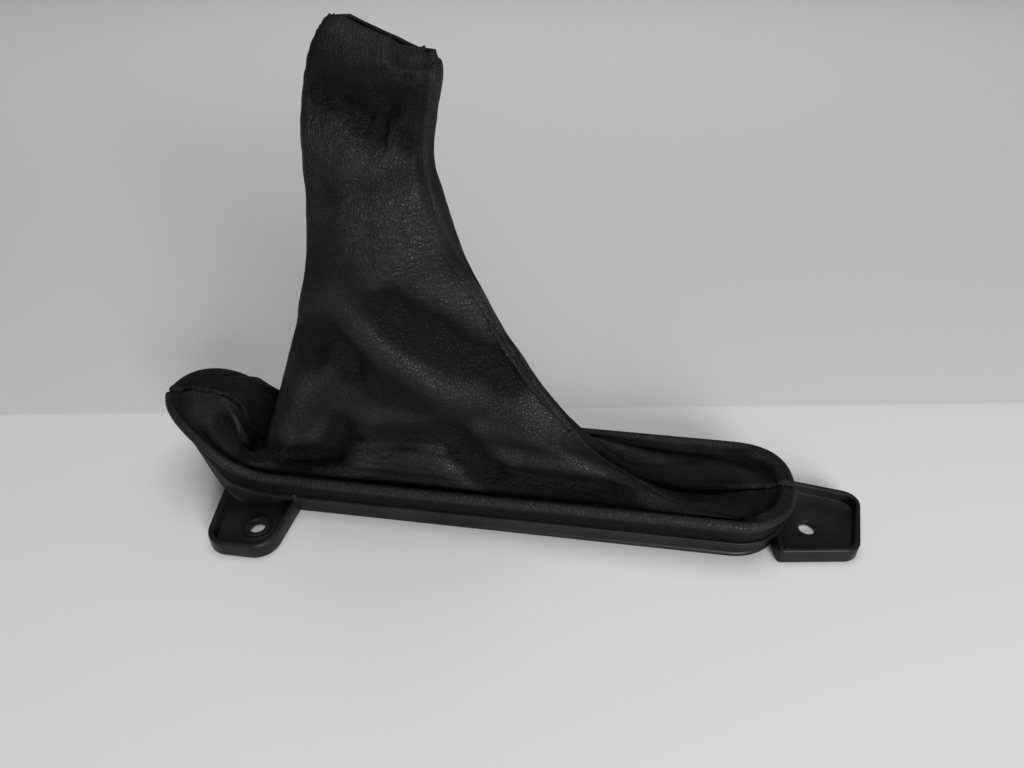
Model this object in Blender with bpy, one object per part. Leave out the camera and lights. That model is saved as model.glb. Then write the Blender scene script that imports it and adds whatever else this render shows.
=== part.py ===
"""Lever gaiter trim: two sewn leatherette panels stretched over a moulded frame.

The frame is a long ring with an out-turned bead along its top, a ledge and a stepped foot, swept
upward at its nose, with a screw tray at its near side and one at its other end. The gaiter is a
tube that starts on the ledge, wraps over the bead, dips into a groove and rises as a folded tent
to a flattened sleeve. It is cut in two panels along its end seams.

Lengths are in millimetres until the meshes are made. X runs from the nose tip of the frame to its
other end, Y = 0 is the frame's centre plane with the near side at minus Y, and Z is up from the
face that the part is screwed down on. The finished model is moved onto the bottom centre of its
box.
"""
import math
from collections import namedtuple

import bmesh
import bpy
import numpy as np

METRE = 0.001
COLLECTION = "lever_gaiter_trim"

# Rim, measured over the leather
RIM_LENGTH = 229.0
RIM_HALF_WIDTH = 22.0
RIM_HEIGHT = 18.2
NOSE_LENGTH = 29.0
ROUND_END_LENGTH = 22.0
NOSE_FULLNESS_NEAR = 1.6
NOSE_FULLNESS_FAR = 2.5
ROUND_FULLNESS_NEAR = 2.0
ROUND_FULLNESS_FAR = 2.7

# Upward sweep of the nose
NOSE_RISE = 18.0
NOSE_WALL_HEIGHT = 7.0
SWEEP_BEYOND_NOSE = 16.0
FOOT_SWEEP_BEYOND_NOSE = 3.0

# Frame section
LEATHER = 0.8
CLEARANCE = 0.3
BEAD_RADIUS = 0.7
WALL = 1.8
BEAD_OVERHANG = 2.3
FLARE = 3.2
LEDGE_HEIGHT = 8.0
LEDGE_WIDTH = 1.8
LEDGE_THICKNESS = 1.6
LEDGE_FALL = 0.15
FOOT_WIDTH = 0.4
FOOT_HEIGHT = 1.2

# Screw trays
TRAY_FLOOR = 2.0
TRAY_LIP_HEIGHT = 6.0
TRAY_LIP = 1.9
SIDE_TRAY_SETBACK = 6.0
SIDE_TRAY_LENGTH = 29.5
SIDE_TRAY_REACH = 43.0
SIDE_TRAY_TAPER = 4.0
SIDE_TRAY_RADIUS = 8.0
SIDE_TRAY_ROOT = 16.2
END_TRAY_REACH = 26.0
END_TRAY_NEAR_INSET = 6.0
END_TRAY_FAR_INSET = 10.0
END_TRAY_NEAR_ROOT = 19.8
END_TRAY_FAR_ROOT = 18.0
END_TRAY_NEAR_TIP = 15.6
END_TRAY_FAR_TIP = 12.3
END_TRAY_SKEW = 4.6
END_TRAY_RADIUS = 6.0
SCREW_HOLE = 5.8
SIDE_HOLE_FROM_START = 18.0
SIDE_HOLE_FROM_CENTRE = 30.8
END_HOLE_FROM_RIM = 6.3
END_HOLE_FROM_CENTRE = 3.7
HOLE_BOSS = 10.0
HOLE_BOSS_RISE = 0.8

# Gaiter
GROOVE_DEPTH = 2.8
GROOVE_INSET = 5.2
NOTCH_BEYOND_NOSE = 3.0
RIDGE_END_X = 44.0
SLEEVE_X = 89.4
SLEEVE_WIDTH = 40.0
SLEEVE_DEPTH = 18.0
SLEEVE_BASE = 113.0
GAITER_HEIGHT = 166.0
SLEEVE_TOP_DROP = 8.0
SLEEVE_TOP_SHIFT = 6.0
SLEEVE_CORNER = 4.5
SEAM_SHIFT = 4.2
SEAM_OVERHANG = 2.6
SEAM_GAP = 0.3
RIDGE_RADIUS = 4.0
TENT_BULGE = 4.2
FOLD_WIDTH = 5.0
FOLD_DEPTH = 2.0

# Mesh fineness
NOSE_STEPS = 8
SWEEP_STEPS = 3
STRAIGHT_STEPS = 13
ROUND_STEPS = 7
LEVEL_STEPS = 2
ARC_STEPS = 6

SWEEP_START = NOSE_LENGTH + SWEEP_BEYOND_NOSE
FOOT_SWEEP_START = NOSE_LENGTH + FOOT_SWEEP_BEYOND_NOSE
NOTCH_X = NOSE_LENGTH + NOTCH_BEYOND_NOSE
SIDE_TRAY_START = NOSE_LENGTH - SIDE_TRAY_SETBACK
END_TRAY_NEAR_START = RIM_LENGTH - END_TRAY_NEAR_INSET
END_TRAY_FAR_START = RIM_LENGTH - END_TRAY_FAR_INSET
GROOVE_REACH = RIM_HALF_WIDTH - GROOVE_INSET
BEAD_REACH = RIM_HALF_WIDTH - LEATHER - CLEARANCE - BEAD_RADIUS
BEAD_HEIGHT = RIM_HEIGHT - LEATHER - CLEARANCE - BEAD_RADIUS
WALL_REACH = BEAD_REACH + BEAD_RADIUS - BEAD_OVERHANG
SKIN_REACH = WALL_REACH + CLEARANCE + LEATHER
LEDGE_REACH = WALL_REACH + LEDGE_WIDTH
BEAD_ZONE = FLARE + BEAD_RADIUS
TRAY_END_X = RIM_LENGTH + END_TRAY_REACH
NEAR, FAR = -1.0, 1.0

Station = namedtuple("Station", "zone turn")
Section = namedtuple("Section", "left left_corner right_corner right bulge arch crown pinch fall hang",
                     defaults=(0.0, 0.0, 1.0, 1.0, 1.0, 0.0))
Fold = namedtuple("Fold", "start end width depth")


def bezier(points, count=80):
    """Return points along a cubic Bezier curve."""
    p = np.array(points, dtype=float)
    t = np.linspace(0.0, 1.0, count)[:, None]
    return ((1 - t) ** 3 * p[0] + 3 * t * (1 - t) ** 2 * p[1]
            + 3 * t * t * (1 - t) * p[2] + t ** 3 * p[3])


def sweep_height(x, start, low, high):
    """Height of a line that runs level at low and rises to high at the nose tip, x = 0."""
    knee = 0.6 * start
    curve = bezier([(start, low), (knee, low), (0.96 * knee, low + 0.86 * (high - low)), (0.0, high)])
    return float(np.interp(x, curve[::-1, 0], curve[::-1, 1]))


def rim_height(x):
    """Height of the leather over the bead."""
    return sweep_height(x, SWEEP_START, RIM_HEIGHT, RIM_HEIGHT + NOSE_RISE)


def foot_height(x):
    """Height of the lower edge of the frame's wall."""
    return sweep_height(x, FOOT_SWEEP_START, 0.0, RIM_HEIGHT + NOSE_RISE - NOSE_WALL_HEIGHT)


def stations():
    """Stations along one side of the rim, from the nose tip to the tip of the round end."""
    nose = [Station("nose", i / NOSE_STEPS) for i in range(NOSE_STEPS)]
    sweep_end = max(0.0, SWEEP_START - NOSE_LENGTH) / (RIM_LENGTH - ROUND_END_LENGTH - NOSE_LENGTH)
    sweep = [Station("straight", sweep_end * i / SWEEP_STEPS) for i in range(SWEEP_STEPS)]
    level = [Station("straight", sweep_end + (1 - sweep_end) * i / STRAIGHT_STEPS)
             for i in range(STRAIGHT_STEPS)]
    round_end = [Station("round", i / ROUND_STEPS) for i in range(ROUND_STEPS + 1)]
    return nose + sweep + level + round_end


def plan_point(side, station, reach):
    """Plan position on the rim outline whose straight sides lie at reach from the centre plane."""
    inset = RIM_HALF_WIDTH - reach
    nose_end, round_start = NOSE_LENGTH, RIM_LENGTH - ROUND_END_LENGTH
    if station.zone == "straight":
        return nose_end + (round_start - nose_end) * station.turn, side * reach
    angle = station.turn * math.pi / 2
    if station.zone == "nose":
        power = 2.0 / (NOSE_FULLNESS_NEAR if side == NEAR else NOSE_FULLNESS_FAR)
        along = (NOSE_LENGTH - inset) * math.cos(angle) ** power
        return nose_end - along, side * reach * math.sin(angle) ** power
    power = 2.0 / (ROUND_FULLNESS_NEAR if side == NEAR else ROUND_FULLNESS_FAR)
    along = (ROUND_END_LENGTH - inset) * max(0.0, math.sin(angle)) ** power
    return round_start + along, side * reach * max(0.0, math.cos(angle)) ** power


def rim_stretch(side, station):
    """How much taller an upright section of the bead is where the rim climbs."""
    low, high = max(0.0, station.turn - 0.01), min(1.0, station.turn + 0.01)
    ends = [plan_point(side, Station(station.zone, turn), RIM_HALF_WIDTH) for turn in (low, high)]
    climb = rim_height(ends[1][0]) - rim_height(ends[0][0])
    run = math.dist(ends[0], ends[1])
    return math.hypot(climb, run) / run


def wall_point(side, station, reach, height):
    """Point of the frame's wall or its skin, lifted with the nose's sweep."""
    outline_x = plan_point(side, station, RIM_HALF_WIDTH)[0]
    x, y = plan_point(side, station, reach)
    foot = foot_height(outline_x)
    centre = rim_height(outline_x) - (RIM_HEIGHT - BEAD_HEIGHT)
    stretch = rim_stretch(side, station)
    neck = BEAD_HEIGHT - BEAD_ZONE
    if height >= neck:
        return x, y, centre + (height - BEAD_HEIGHT) * stretch
    return x, y, foot + (centre - BEAD_ZONE * stretch - foot) * height / neck


def around_rim():
    """All stations round the rim: the near side from the nose, then the far side back to it."""
    side_stations = stations()
    loop = [(NEAR, s) for s in side_stations]
    return loop + [(FAR, s) for s in side_stations[-2:0:-1]]


def to_origin(points):
    """Move points in millimetres onto the part's origin and turn them into metres."""
    nose_edge, end_edge = 0.0, TRAY_END_X
    near_edge, far_edge = -SIDE_TRAY_REACH, RIM_HALF_WIDTH
    centre = np.array([(nose_edge + end_edge) / 2, (near_edge + far_edge) / 2, 0.0])
    return (np.asarray(points, dtype=float) - centre) * METRE


def material(name, colour, roughness):
    """A plain principled material."""
    mat = bpy.data.materials.new(name)
    mat.use_nodes = True
    shader = mat.node_tree.nodes["Principled BSDF"]
    shader.inputs["Base Color"].default_value = (*colour, 1.0)
    shader.inputs["Roughness"].default_value = roughness
    shader.inputs["Metallic"].default_value = 0.0
    return mat


def add_object(name, mesh, collection, mat=None):
    """Put a mesh in the scene as a named object."""
    obj = bpy.data.objects.new(name, mesh)
    collection.objects.link(obj)
    if mat:
        mesh.materials.append(mat)
    return obj


def grid_faces(rows, columns, wrap_rows, wrap_columns):
    """Corner indices of the quads of a grid that is numbered row by row."""
    faces = []
    for i in range(rows if wrap_rows else rows - 1):
        for j in range(columns if wrap_columns else columns - 1):
            below, beside = (i + 1) % rows, (j + 1) % columns
            faces.append((i * columns + j, i * columns + beside, below * columns + beside,
                          below * columns + j))
    return faces


def mesh_from(name, points, faces):
    """A mesh whose faces all point outwards."""
    mesh = bpy.data.meshes.new(name)
    mesh.from_pydata([tuple(p) for p in to_origin(points)], [], faces)
    bm = bmesh.new()
    bm.from_mesh(mesh)
    bmesh.ops.recalc_face_normals(bm, faces=bm.faces)
    bm.to_mesh(mesh)
    bm.free()
    return mesh


def frame_profile():
    """Section of the frame's wall, up the outside and down the inside.

    Each point is its reach, the reach that it fades to where the foot sweeps up, and its height.
    """
    plain, inner = WALL_REACH, WALL_REACH - WALL
    foot = WALL_REACH + FOOT_WIDTH
    ledge_low = LEDGE_HEIGHT - LEDGE_THICKNESS
    flare_low = BEAD_HEIGHT - FLARE
    outside = [
        (foot, plain, 0.0),
        (foot, plain, FOOT_HEIGHT),
        (plain, plain, FOOT_HEIGHT + FOOT_WIDTH),
        (plain, plain, ledge_low - FOOT_WIDTH),
        (LEDGE_REACH, plain, ledge_low),
        (LEDGE_REACH, plain, LEDGE_HEIGHT),
        (plain, plain, LEDGE_HEIGHT + LEDGE_FALL),
        (plain, plain, flare_low),
    ]
    first, last = math.radians(-35.0), math.radians(180.0)
    bead = []
    for i in range(ARC_STEPS + 1):
        angle = first + (last - first) * i / ARC_STEPS
        reach = BEAD_REACH + BEAD_RADIUS * math.cos(angle)
        bead.append((reach, reach, BEAD_HEIGHT + BEAD_RADIUS * math.sin(angle)))
    inside = [
        (inner, inner, flare_low - 0.65 * WALL),
        (inner, inner, LEDGE_HEIGHT),
        (inner, inner, 0.0),
    ]
    return outside + bead + inside


def frame_ring():
    """The frame's wall as one ring. Its ledge and steps fade out where the foot sweeps up."""
    profile = frame_profile()
    sweep_top = RIM_HEIGHT + NOSE_RISE - NOSE_WALL_HEIGHT
    loop = around_rim()
    points = []
    for side, station in loop:
        foot = foot_height(plan_point(side, station, RIM_HALF_WIDTH)[0])
        fade = min(1.0, 1.6 * foot / sweep_top)
        for reach, faded, height in profile:
            points.append(wall_point(side, station, reach + (faded - reach) * fade, height))
    faces = grid_faces(len(loop), len(profile), True, True)
    return mesh_from("base_frame", points, faces)


def rounded_outline(corners, steps=5):
    """Plan outline with a radius at each (x, y, radius) corner, run counter-clockwise."""
    outline = []
    for i, (x, y, radius) in enumerate(corners):
        corner = np.array([x, y])
        if radius <= 0.0:
            outline.append(tuple(corner))
            continue
        before = np.array(corners[i - 1][:2]) - corner
        after = np.array(corners[(i + 1) % len(corners)][:2]) - corner
        before /= np.linalg.norm(before)
        after /= np.linalg.norm(after)
        half = math.acos(float(np.clip(before @ after, -1.0, 1.0))) / 2
        middle = (before + after) / np.linalg.norm(before + after)
        centre = corner + middle * radius / math.sin(half)
        start = corner + before * radius / math.tan(half)
        end = corner + after * radius / math.tan(half)
        first = math.atan2(*(start - centre)[::-1])
        turn = math.atan2(*(end - centre)[::-1]) - first
        turn = (turn + math.pi) % (2 * math.pi) - math.pi
        for k in range(steps + 1):
            angle = first + turn * k / steps
            outline.append(tuple(centre + radius * np.array([math.cos(angle), math.sin(angle)])))
    return outline


def plate(name, outline, low, high, collection):
    """A flat piece with the given outline between two heights, made from a filled curve."""
    curve = bpy.data.curves.new(name, "CURVE")
    curve.dimensions = "2D"
    curve.fill_mode = "BOTH"
    curve.extrude = (high - low) / 2 * METRE
    spline = curve.splines.new("POLY")
    spline.points.add(len(outline) - 1)
    flat = [(x, y, 0.0) for x, y in outline]
    for point, place in zip(spline.points, to_origin(flat)):
        point.co = (place[0], place[1], 0.0, 1.0)
    spline.use_cyclic_u = True
    source = bpy.data.objects.new(name + "_curve", curve)
    source.location.z = (low + high) / 2 * METRE
    collection.objects.link(source)
    return curve_to_mesh(source, name, collection)


def curve_to_mesh(source, name, collection):
    """Turn a curve object into a welded mesh object in the same place."""
    bpy.context.view_layer.update()
    evaluated = source.evaluated_get(bpy.context.evaluated_depsgraph_get())
    mesh = bpy.data.meshes.new_from_object(evaluated)
    mesh.name = name
    mesh.transform(source.matrix_world)
    bm = bmesh.new()
    bm.from_mesh(mesh)
    bmesh.ops.remove_doubles(bm, verts=bm.verts, dist=0.00001)
    bmesh.ops.recalc_face_normals(bm, faces=bm.faces)
    bm.to_mesh(mesh)
    bm.free()
    bpy.data.objects.remove(source)
    return add_object(name, mesh, collection)


def disc(name, centre, diameter, low, high, collection):
    """A short upright cylinder."""
    bm = bmesh.new()
    bmesh.ops.create_cone(bm, cap_ends=True, segments=24, radius1=diameter / 2 * METRE,
                          radius2=diameter / 2 * METRE, depth=(high - low) * METRE)
    place = to_origin([(centre[0], centre[1], (low + high) / 2)])[0]
    bmesh.ops.translate(bm, vec=tuple(place), verts=bm.verts)
    mesh = bpy.data.meshes.new(name)
    bm.to_mesh(mesh)
    bm.free()
    return add_object(name, mesh, collection)


def combine(target, tool, operation):
    """Apply an exact Boolean of the tool to the target."""
    modifier = target.modifiers.new(tool.name, "BOOLEAN")
    modifier.operation = operation
    modifier.solver = "EXACT"
    modifier.object = tool
    bpy.context.view_layer.update()
    evaluated = target.evaluated_get(bpy.context.evaluated_depsgraph_get())
    mesh = bpy.data.meshes.new_from_object(evaluated)
    target.modifiers.clear()
    target.data = mesh
    bpy.data.objects.remove(tool)


def tray_corners(kind, shrink):
    """Corners of a screw tray, shrunk by the lip's thickness on its free sides."""
    if kind == "side":
        left, right = SIDE_TRAY_START + shrink, SIDE_TRAY_START + SIDE_TRAY_LENGTH - shrink
        front, back = -SIDE_TRAY_REACH + shrink, -WALL_REACH + WALL / 2 - shrink / 2
        radius = SIDE_TRAY_RADIUS - shrink
        return [(left, -SIDE_TRAY_ROOT - shrink / 2, 0), (left + SIDE_TRAY_TAPER, front, radius),
                (right - SIDE_TRAY_TAPER / 2, front, radius), (right, back, 0)]
    radius = END_TRAY_RADIUS - shrink
    near_start, far_start = END_TRAY_NEAR_START + shrink, END_TRAY_FAR_START + shrink
    near_tip = (TRAY_END_X - END_TRAY_SKEW - shrink, -END_TRAY_NEAR_TIP + shrink, radius)
    far_tip = (TRAY_END_X + END_TRAY_SKEW / 4 - shrink, END_TRAY_FAR_TIP - shrink, radius)
    return [(near_start, -END_TRAY_NEAR_ROOT + shrink, 1.5), near_tip, far_tip,
            (far_start, END_TRAY_FAR_ROOT - shrink, 1.5)]


def add_tray(frame, kind, hole, cutters):
    """Join a screw tray with its raised lip and hole to the frame. The side tray's hole has a boss."""
    outside = rounded_outline(tray_corners(kind, 0.0))
    pocket = rounded_outline(tray_corners(kind, TRAY_LIP))
    tray = plate(kind + "_tray", outside, 0.0, TRAY_LIP_HEIGHT, cutters)
    combine(tray, plate(kind + "_pocket", pocket, TRAY_FLOOR, 2 * TRAY_LIP_HEIGHT, cutters), "DIFFERENCE")
    if kind == "side":
        boss = disc("side_boss", hole, HOLE_BOSS, TRAY_FLOOR / 2, TRAY_FLOOR + HOLE_BOSS_RISE, cutters)
        combine(tray, boss, "UNION")
    combine(tray, disc(kind + "_hole", hole, SCREW_HOLE, -TRAY_FLOOR, TRAY_LIP_HEIGHT, cutters), "DIFFERENCE")
    combine(tray, frame_core(kind + "_core", cutters), "DIFFERENCE")
    combine(frame, tray, "UNION")


def frame_core(name, cutters):
    """The open space inside the frame's lower wall, which no tray may fill."""
    inner = WALL_REACH - WALL / 2
    outline = [plan_point(side, station, inner) for side, station in around_rim()]
    return plate(name, outline, -TRAY_FLOOR, TRAY_LIP_HEIGHT + TRAY_FLOOR, cutters)


def groove_share(side, station):
    """How deep the leather dips inside the bead: 1 in full, 0 where it runs on level."""
    if station.zone == "round":
        return max(0.0, 1.0 - 3.4 * station.turn)
    if side == FAR:
        return min(1.0, 0.2 + 2.6 * station.turn) if station.zone == "straight" else 0.2 * station.turn
    return math.sin(station.turn * math.pi / 2) if station.zone == "nose" else 1.0


def skin_section(side, station):
    """Leather's outer face from the hem on the ledge over the bead and into the groove."""
    share = groove_share(side, station)
    hem_top = BEAD_HEIGHT - BEAD_ZONE
    hem = [(SKIN_REACH, LEDGE_HEIGHT + LEDGE_FALL + CLEARANCE), (SKIN_REACH, (LEDGE_HEIGHT + hem_top) / 2),
           (SKIN_REACH, hem_top)]
    radius = BEAD_RADIUS + CLEARANCE + LEATHER
    first, last = math.radians(-35.0), math.radians(100.0 + 80.0 * share)
    arc = []
    for i in range(ARC_STEPS + 1):
        angle = first + (last - first) * i / ARC_STEPS
        arc.append((BEAD_REACH + radius * math.cos(angle), BEAD_HEIGHT + radius * math.sin(angle)))
    return hem + arc + [(GROOVE_REACH, RIM_HEIGHT - GROOVE_DEPTH * share)]


def low_sections(side):
    """Sections of one side from just inside the groove up to the V notch behind the nose.

    The near side has a pocket in the nose, and the far side stands high round it. Along both
    sides the sections climb the foot of the tent, and at the round end they lie in its dish.
    """
    groove = side * GROOVE_REACH
    floor, mound = RIM_HEIGHT - GROOVE_DEPTH, RIM_HEIGHT + NOSE_RISE
    end, notch, ridge = RIM_LENGTH, NOTCH_X, RIM_LENGTH - RIDGE_END_X
    nose, round_end = NOSE_LENGTH, ROUND_END_LENGTH
    nose_tip = (0.34 * nose, 0, mound + 1.7)
    nose_crest = (0.45 * nose, 0, mound + 1.6)
    pocket_ridge = (0.6 * nose, 0, mound + 0.8)
    notch_lip = (0.84 * nose, 0, mound - 1)
    notch_floor = (notch, 0, floor - 0.9)
    dish_edge = (end - 0.32 * round_end, 0, floor + 1.9)
    dish_side = (end - 0.5 * round_end, 0, floor + 0.5)
    dish_slope = (end - 0.98 * round_end, 0, floor - 1.4)
    dish_floor = (ridge + 10, 0, floor - 3.2)
    ridge_foot = (ridge - 6.5, 0.3, floor - 3.2)
    if side == NEAR:
        return [
            Section(nose_tip, (notch - 1, 0.98 * groove, floor + 3.4), (end - 23, 1.02 * groove, floor + 1),
                    dish_edge, bulge=-0.5, arch=-2.7, crown=3.6, pinch=2.0),
            Section(nose_crest, (notch + 2, 0.94 * groove, floor + 4.4),
                    (end - 32, 0.88 * groove, floor + 1.2), dish_side, bulge=0.9, arch=1.3, crown=2.8,
                    pinch=1.8),
            Section(pocket_ridge, (notch + 4.4, 0.85 * groove, floor + 7.6),
                    (end - 38.5, 0.77 * groove, floor + 1.8), dish_slope, bulge=2.0, arch=6.0, crown=3.5,
                    pinch=2.6),
            Section(notch_lip, (notch + 5.2, 0.89 * groove, floor + 6.5), (ridge, 0.75 * groove, floor + 2.7),
                    dish_floor, bulge=1.0, arch=12.0, crown=3.5, pinch=2.2),
            Section(notch_floor, (notch + 6, 0.93 * groove, floor + 4.4),
                    (ridge - 12, 0.58 * groove, floor + 7.6), ridge_foot, bulge=1.5, arch=16.6, crown=2.5,
                    pinch=2.0),
        ]
    return [
        Section(nose_tip, (notch - 3, 0.88 * groove, mound - 2.2), (end - 23.5, 0.95 * groove, floor - 1.6),
                dish_edge, bulge=-0.2, fall=8.0),
        Section(nose_crest, (notch - 1, 0.76 * groove, mound - 1.7), (end - 33, 0.68 * groove, floor + 1),
                dish_side, bulge=2.0, arch=3.1, fall=8.0),
        Section(pocket_ridge, (notch + 1.5, 0.67 * groove, mound - 2.7),
                (end - 42, 0.45 * groove, floor + 1.4), dish_slope, bulge=4.0, arch=9.2, fall=8.0),
        Section(notch_lip, (notch + 5, 0.64 * groove, mound - 6.2), (ridge - 11, 0.35 * groove, floor + 1),
                dish_floor, bulge=4.6, arch=10.0, fall=2.0),
        Section(notch_floor, (notch + 10, 0.64 * groove, floor + 13.6),
                (ridge - 22, 0.31 * groove, floor + 3.1), ridge_foot, bulge=4.4, arch=14.0, crown=1.2),
    ]


def sail_section(side, share):
    """Section of the tent's steep part at a share of the way from the rim to the sleeve.

    The near side ends in a ridge, and the seam runs in the hollow just behind it.
    """
    near = side == NEAR
    back = 1.0 - share
    half = side * SLEEVE_DEPTH / 2
    groove = side * GROOVE_REACH
    base_left, base_right = SLEEVE_X - SLEEVE_WIDTH / 2, SLEEVE_X + SLEEVE_WIDTH / 2
    height = RIM_HEIGHT + (SLEEVE_BASE - RIM_HEIGHT) * share
    foot_left, foot_right = NOTCH_X + SLEEVE_CORNER, RIM_LENGTH - RIDGE_END_X
    left = foot_left + (base_left - foot_left) * (1 - back ** 1.2)
    ridge = foot_right + (base_right - SLEEVE_CORNER - foot_right) * share ** 0.52
    if near:
        left_y = half + 0.8 * (groove - half) * back ** 2
        right_corner = (ridge, side * RIDGE_RADIUS * (1 + back ** 6), height)
    else:
        left_y = 0.87 * half + 0.4 * half * back ** 2
        right_corner = (ridge - 2 * RIDGE_RADIUS * back ** 0.6, 0.3 * groove, height)
    return Section((left, 0, height), (left + SLEEVE_CORNER, left_y, height + 0.5 * SLEEVE_CORNER),
                   right_corner,
                   (ridge + RIDGE_RADIUS * (0.5 + back ** 3), 0.2 * RIDGE_RADIUS,
                    height - 4 * RIDGE_RADIUS * back ** 2),
                   TENT_BULGE, 4.3 * TENT_BULGE * back ** 1.3)


def sleeve_section(side, share, left_in=0.0, right_in=0.0, depth=1.0, tilt=0.0):
    """Section of the sleeve at a share of the way from its base to its mouth.

    Its left and right edges are moved by left_in and right_in, depth is a share of the sleeve's
    full depth, and tilt a share of the drop of the mouth towards its right end.
    """
    half = side * SLEEVE_DEPTH / 2
    height = SLEEVE_BASE + (GAITER_HEIGHT - SLEEVE_BASE) * share
    left = SLEEVE_X - SLEEVE_WIDTH / 2 + left_in
    right = SLEEVE_X + SLEEVE_WIDTH / 2 + right_in
    low = height - tilt * SLEEVE_TOP_DROP
    hang = SEAM_OVERHANG if side == FAR else 0.0
    seam = (right - 0.4 * SLEEVE_CORNER, -SEAM_SHIFT * depth, low)
    return Section((left, 0, height), (left + SLEEVE_CORNER, depth * half, height),
                   (right - SLEEVE_CORNER, 0.95 * depth * half, low), seam, hang=hang)


def gaiter_sections(side):
    """Sections of one side of the tent, from just inside the groove to the mouth of the sleeve.

    A section runs from the seam at the nose, round a corner, along the side, round a second
    corner to the seam at the other end. Both sides share the seam points.
    """
    sail = [sail_section(side, share) for share in (0.12, 0.24, 0.45, 0.75)]
    tubes = [
        sleeve_section(side, 0.0, left_in=-1.2),
        sleeve_section(side, 0.27, left_in=-0.2, right_in=-3.0),
        sleeve_section(side, 0.49, left_in=1.0, right_in=-2.0, depth=0.8),
        sleeve_section(side, 0.68, left_in=3.2, tilt=0.1),
        sleeve_section(side, 0.86, left_in=6.8, right_in=0.6, depth=0.86, tilt=0.5),
        sleeve_section(side, 1.0, left_in=2 * SLEEVE_TOP_SHIFT, right_in=-0.5, depth=0.4, tilt=1.0),
    ]
    return low_sections(side) + sail + tubes


def section_point(section, side, station):
    """Point of a section at a station of the rim."""
    turn = station.turn
    if station.zone == "straight":
        a, b = np.array(section.left_corner), np.array(section.right_corner)
        hump = 4 * turn * (1 - turn)
        point = a + (b - a) * turn
        point[1] += side * section.bulge * hump
        point[2] = b[2] + (a[2] - b[2]) * (1 - turn) ** section.fall + section.arch * hump
        return point
    angle = turn * math.pi / 2
    if station.zone == "nose":
        tip, corner = np.array(section.left), np.array(section.left_corner)
        out, across, hang = math.cos(angle), math.sin(angle), 0.0
        y_share, z_share = across ** section.pinch, across ** section.crown
    else:
        tip, corner = np.array(section.right), np.array(section.right_corner)
        out, across = math.sin(angle), max(0.0, math.cos(angle))
        hang = section.hang * math.sin(2 * angle) * out
        y_share = z_share = across
    x = corner[0] + (tip[0] - corner[0]) * out + hang
    return np.array([x, tip[1] + (corner[1] - tip[1]) * y_share, tip[2] + (corner[2] - tip[2]) * z_share])


def spline_rows(key_rows, steps):
    """Catmull-Rom rows through the key rows, with the given steps between two of them."""
    rows = []
    count = len(key_rows)
    for i in range(count - 1):
        p0 = key_rows[max(i - 1, 0)]
        p1, p2 = key_rows[i], key_rows[i + 1]
        p3 = key_rows[min(i + 2, count - 1)]
        for k in range(steps):
            t = k / steps
            rows.append(0.5 * (2 * p1 + (p2 - p0) * t + (2 * p0 - 5 * p1 + 4 * p2 - p3) * t * t
                               + (3 * p1 - p0 - 3 * p2 + p3) * t ** 3))
    rows.append(key_rows[-1])
    return rows


def gaiter_folds():
    """The main folds of the near panel, in its own plane (x, z), with width and inward depth."""
    def place(across, up):
        """A place by its shares of the sleeve's width and of the height from rim to sleeve."""
        return (SLEEVE_X + SLEEVE_WIDTH * (across - 0.5), RIM_HEIGHT + (SLEEVE_BASE - RIM_HEIGHT) * up)

    wide, deep = FOLD_WIDTH, FOLD_DEPTH
    return [
        Fold(place(0.05, 0.55), place(0.3, 0.39), 1.2 * wide, 1.2 * deep),
        Fold(place(0.12, 0.68), place(1.05, 0.41), wide, -0.8 * deep),
        Fold(place(0.62, 0.77), place(1.7, 0.42), wide, 0.9 * deep),
        Fold(place(-0.6, 0.1), place(0.08, 0.12), 1.1 * wide, 1.3 * deep),
        Fold(place(0.08, 0.12), place(0.1, 0.34), wide, 0.8 * deep),
        Fold(place(-0.05, 0.06), place(1.15, 0.06), 0.8 * wide, -0.9 * deep),
        Fold(place(1.05, 0.2), place(1.5, 0.02), wide, 0.9 * deep),
        Fold(place(0.05, 1.36), place(0.95, 1.27), 0.8 * wide, 0.5 * deep),
    ]


def press_folds(rows, side_rows, folds):
    """Push the near face of the tent in or out along its folds."""
    for row in rows[side_rows:]:
        for point in row:
            if point[1] > -FOLD_DEPTH:
                continue
            place = np.array([point[0], point[2]])
            for fold in folds:
                a, b = np.array(fold.start), np.array(fold.end)
                t = float(np.clip((place - a) @ (b - a) / ((b - a) @ (b - a)), 0.0, 1.0))
                away = np.linalg.norm(place - a - t * (b - a))
                strength = math.exp(-(away / fold.width) ** 2)
                room = min(1.0, (-point[1] - FOLD_DEPTH) / (2 * FOLD_DEPTH))
                point[1] += fold.depth * strength * room


def gaiter_surface():
    """Outer face of the whole gaiter as rows of points round the rim's loop."""
    loop = around_rim()
    columns = [[wall_point(side, station, reach, height) for reach, height in skin_section(side, station)]
               for side, station in loop]
    skin = list(np.transpose(np.array(columns), (1, 0, 2)))
    sides = {NEAR: gaiter_sections(NEAR), FAR: gaiter_sections(FAR)}
    keys = [skin[-1]]
    for i in range(len(sides[NEAR])):
        keys.append(np.array([section_point(sides[side][i], side, station) for side, station in loop]))
    rows = skin[:-1] + spline_rows(keys, LEVEL_STEPS)
    press_folds(rows, len(skin) + LEVEL_STEPS, gaiter_folds())
    return np.array(rows)


def surface_normals(surface):
    """Outward unit normals of a surface of rows that close on themselves."""
    around = np.roll(surface, -1, axis=1) - np.roll(surface, 1, axis=1)
    up = np.gradient(surface, axis=0)
    normals = np.cross(around, up)
    return normals / np.linalg.norm(normals, axis=2, keepdims=True)


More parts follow.
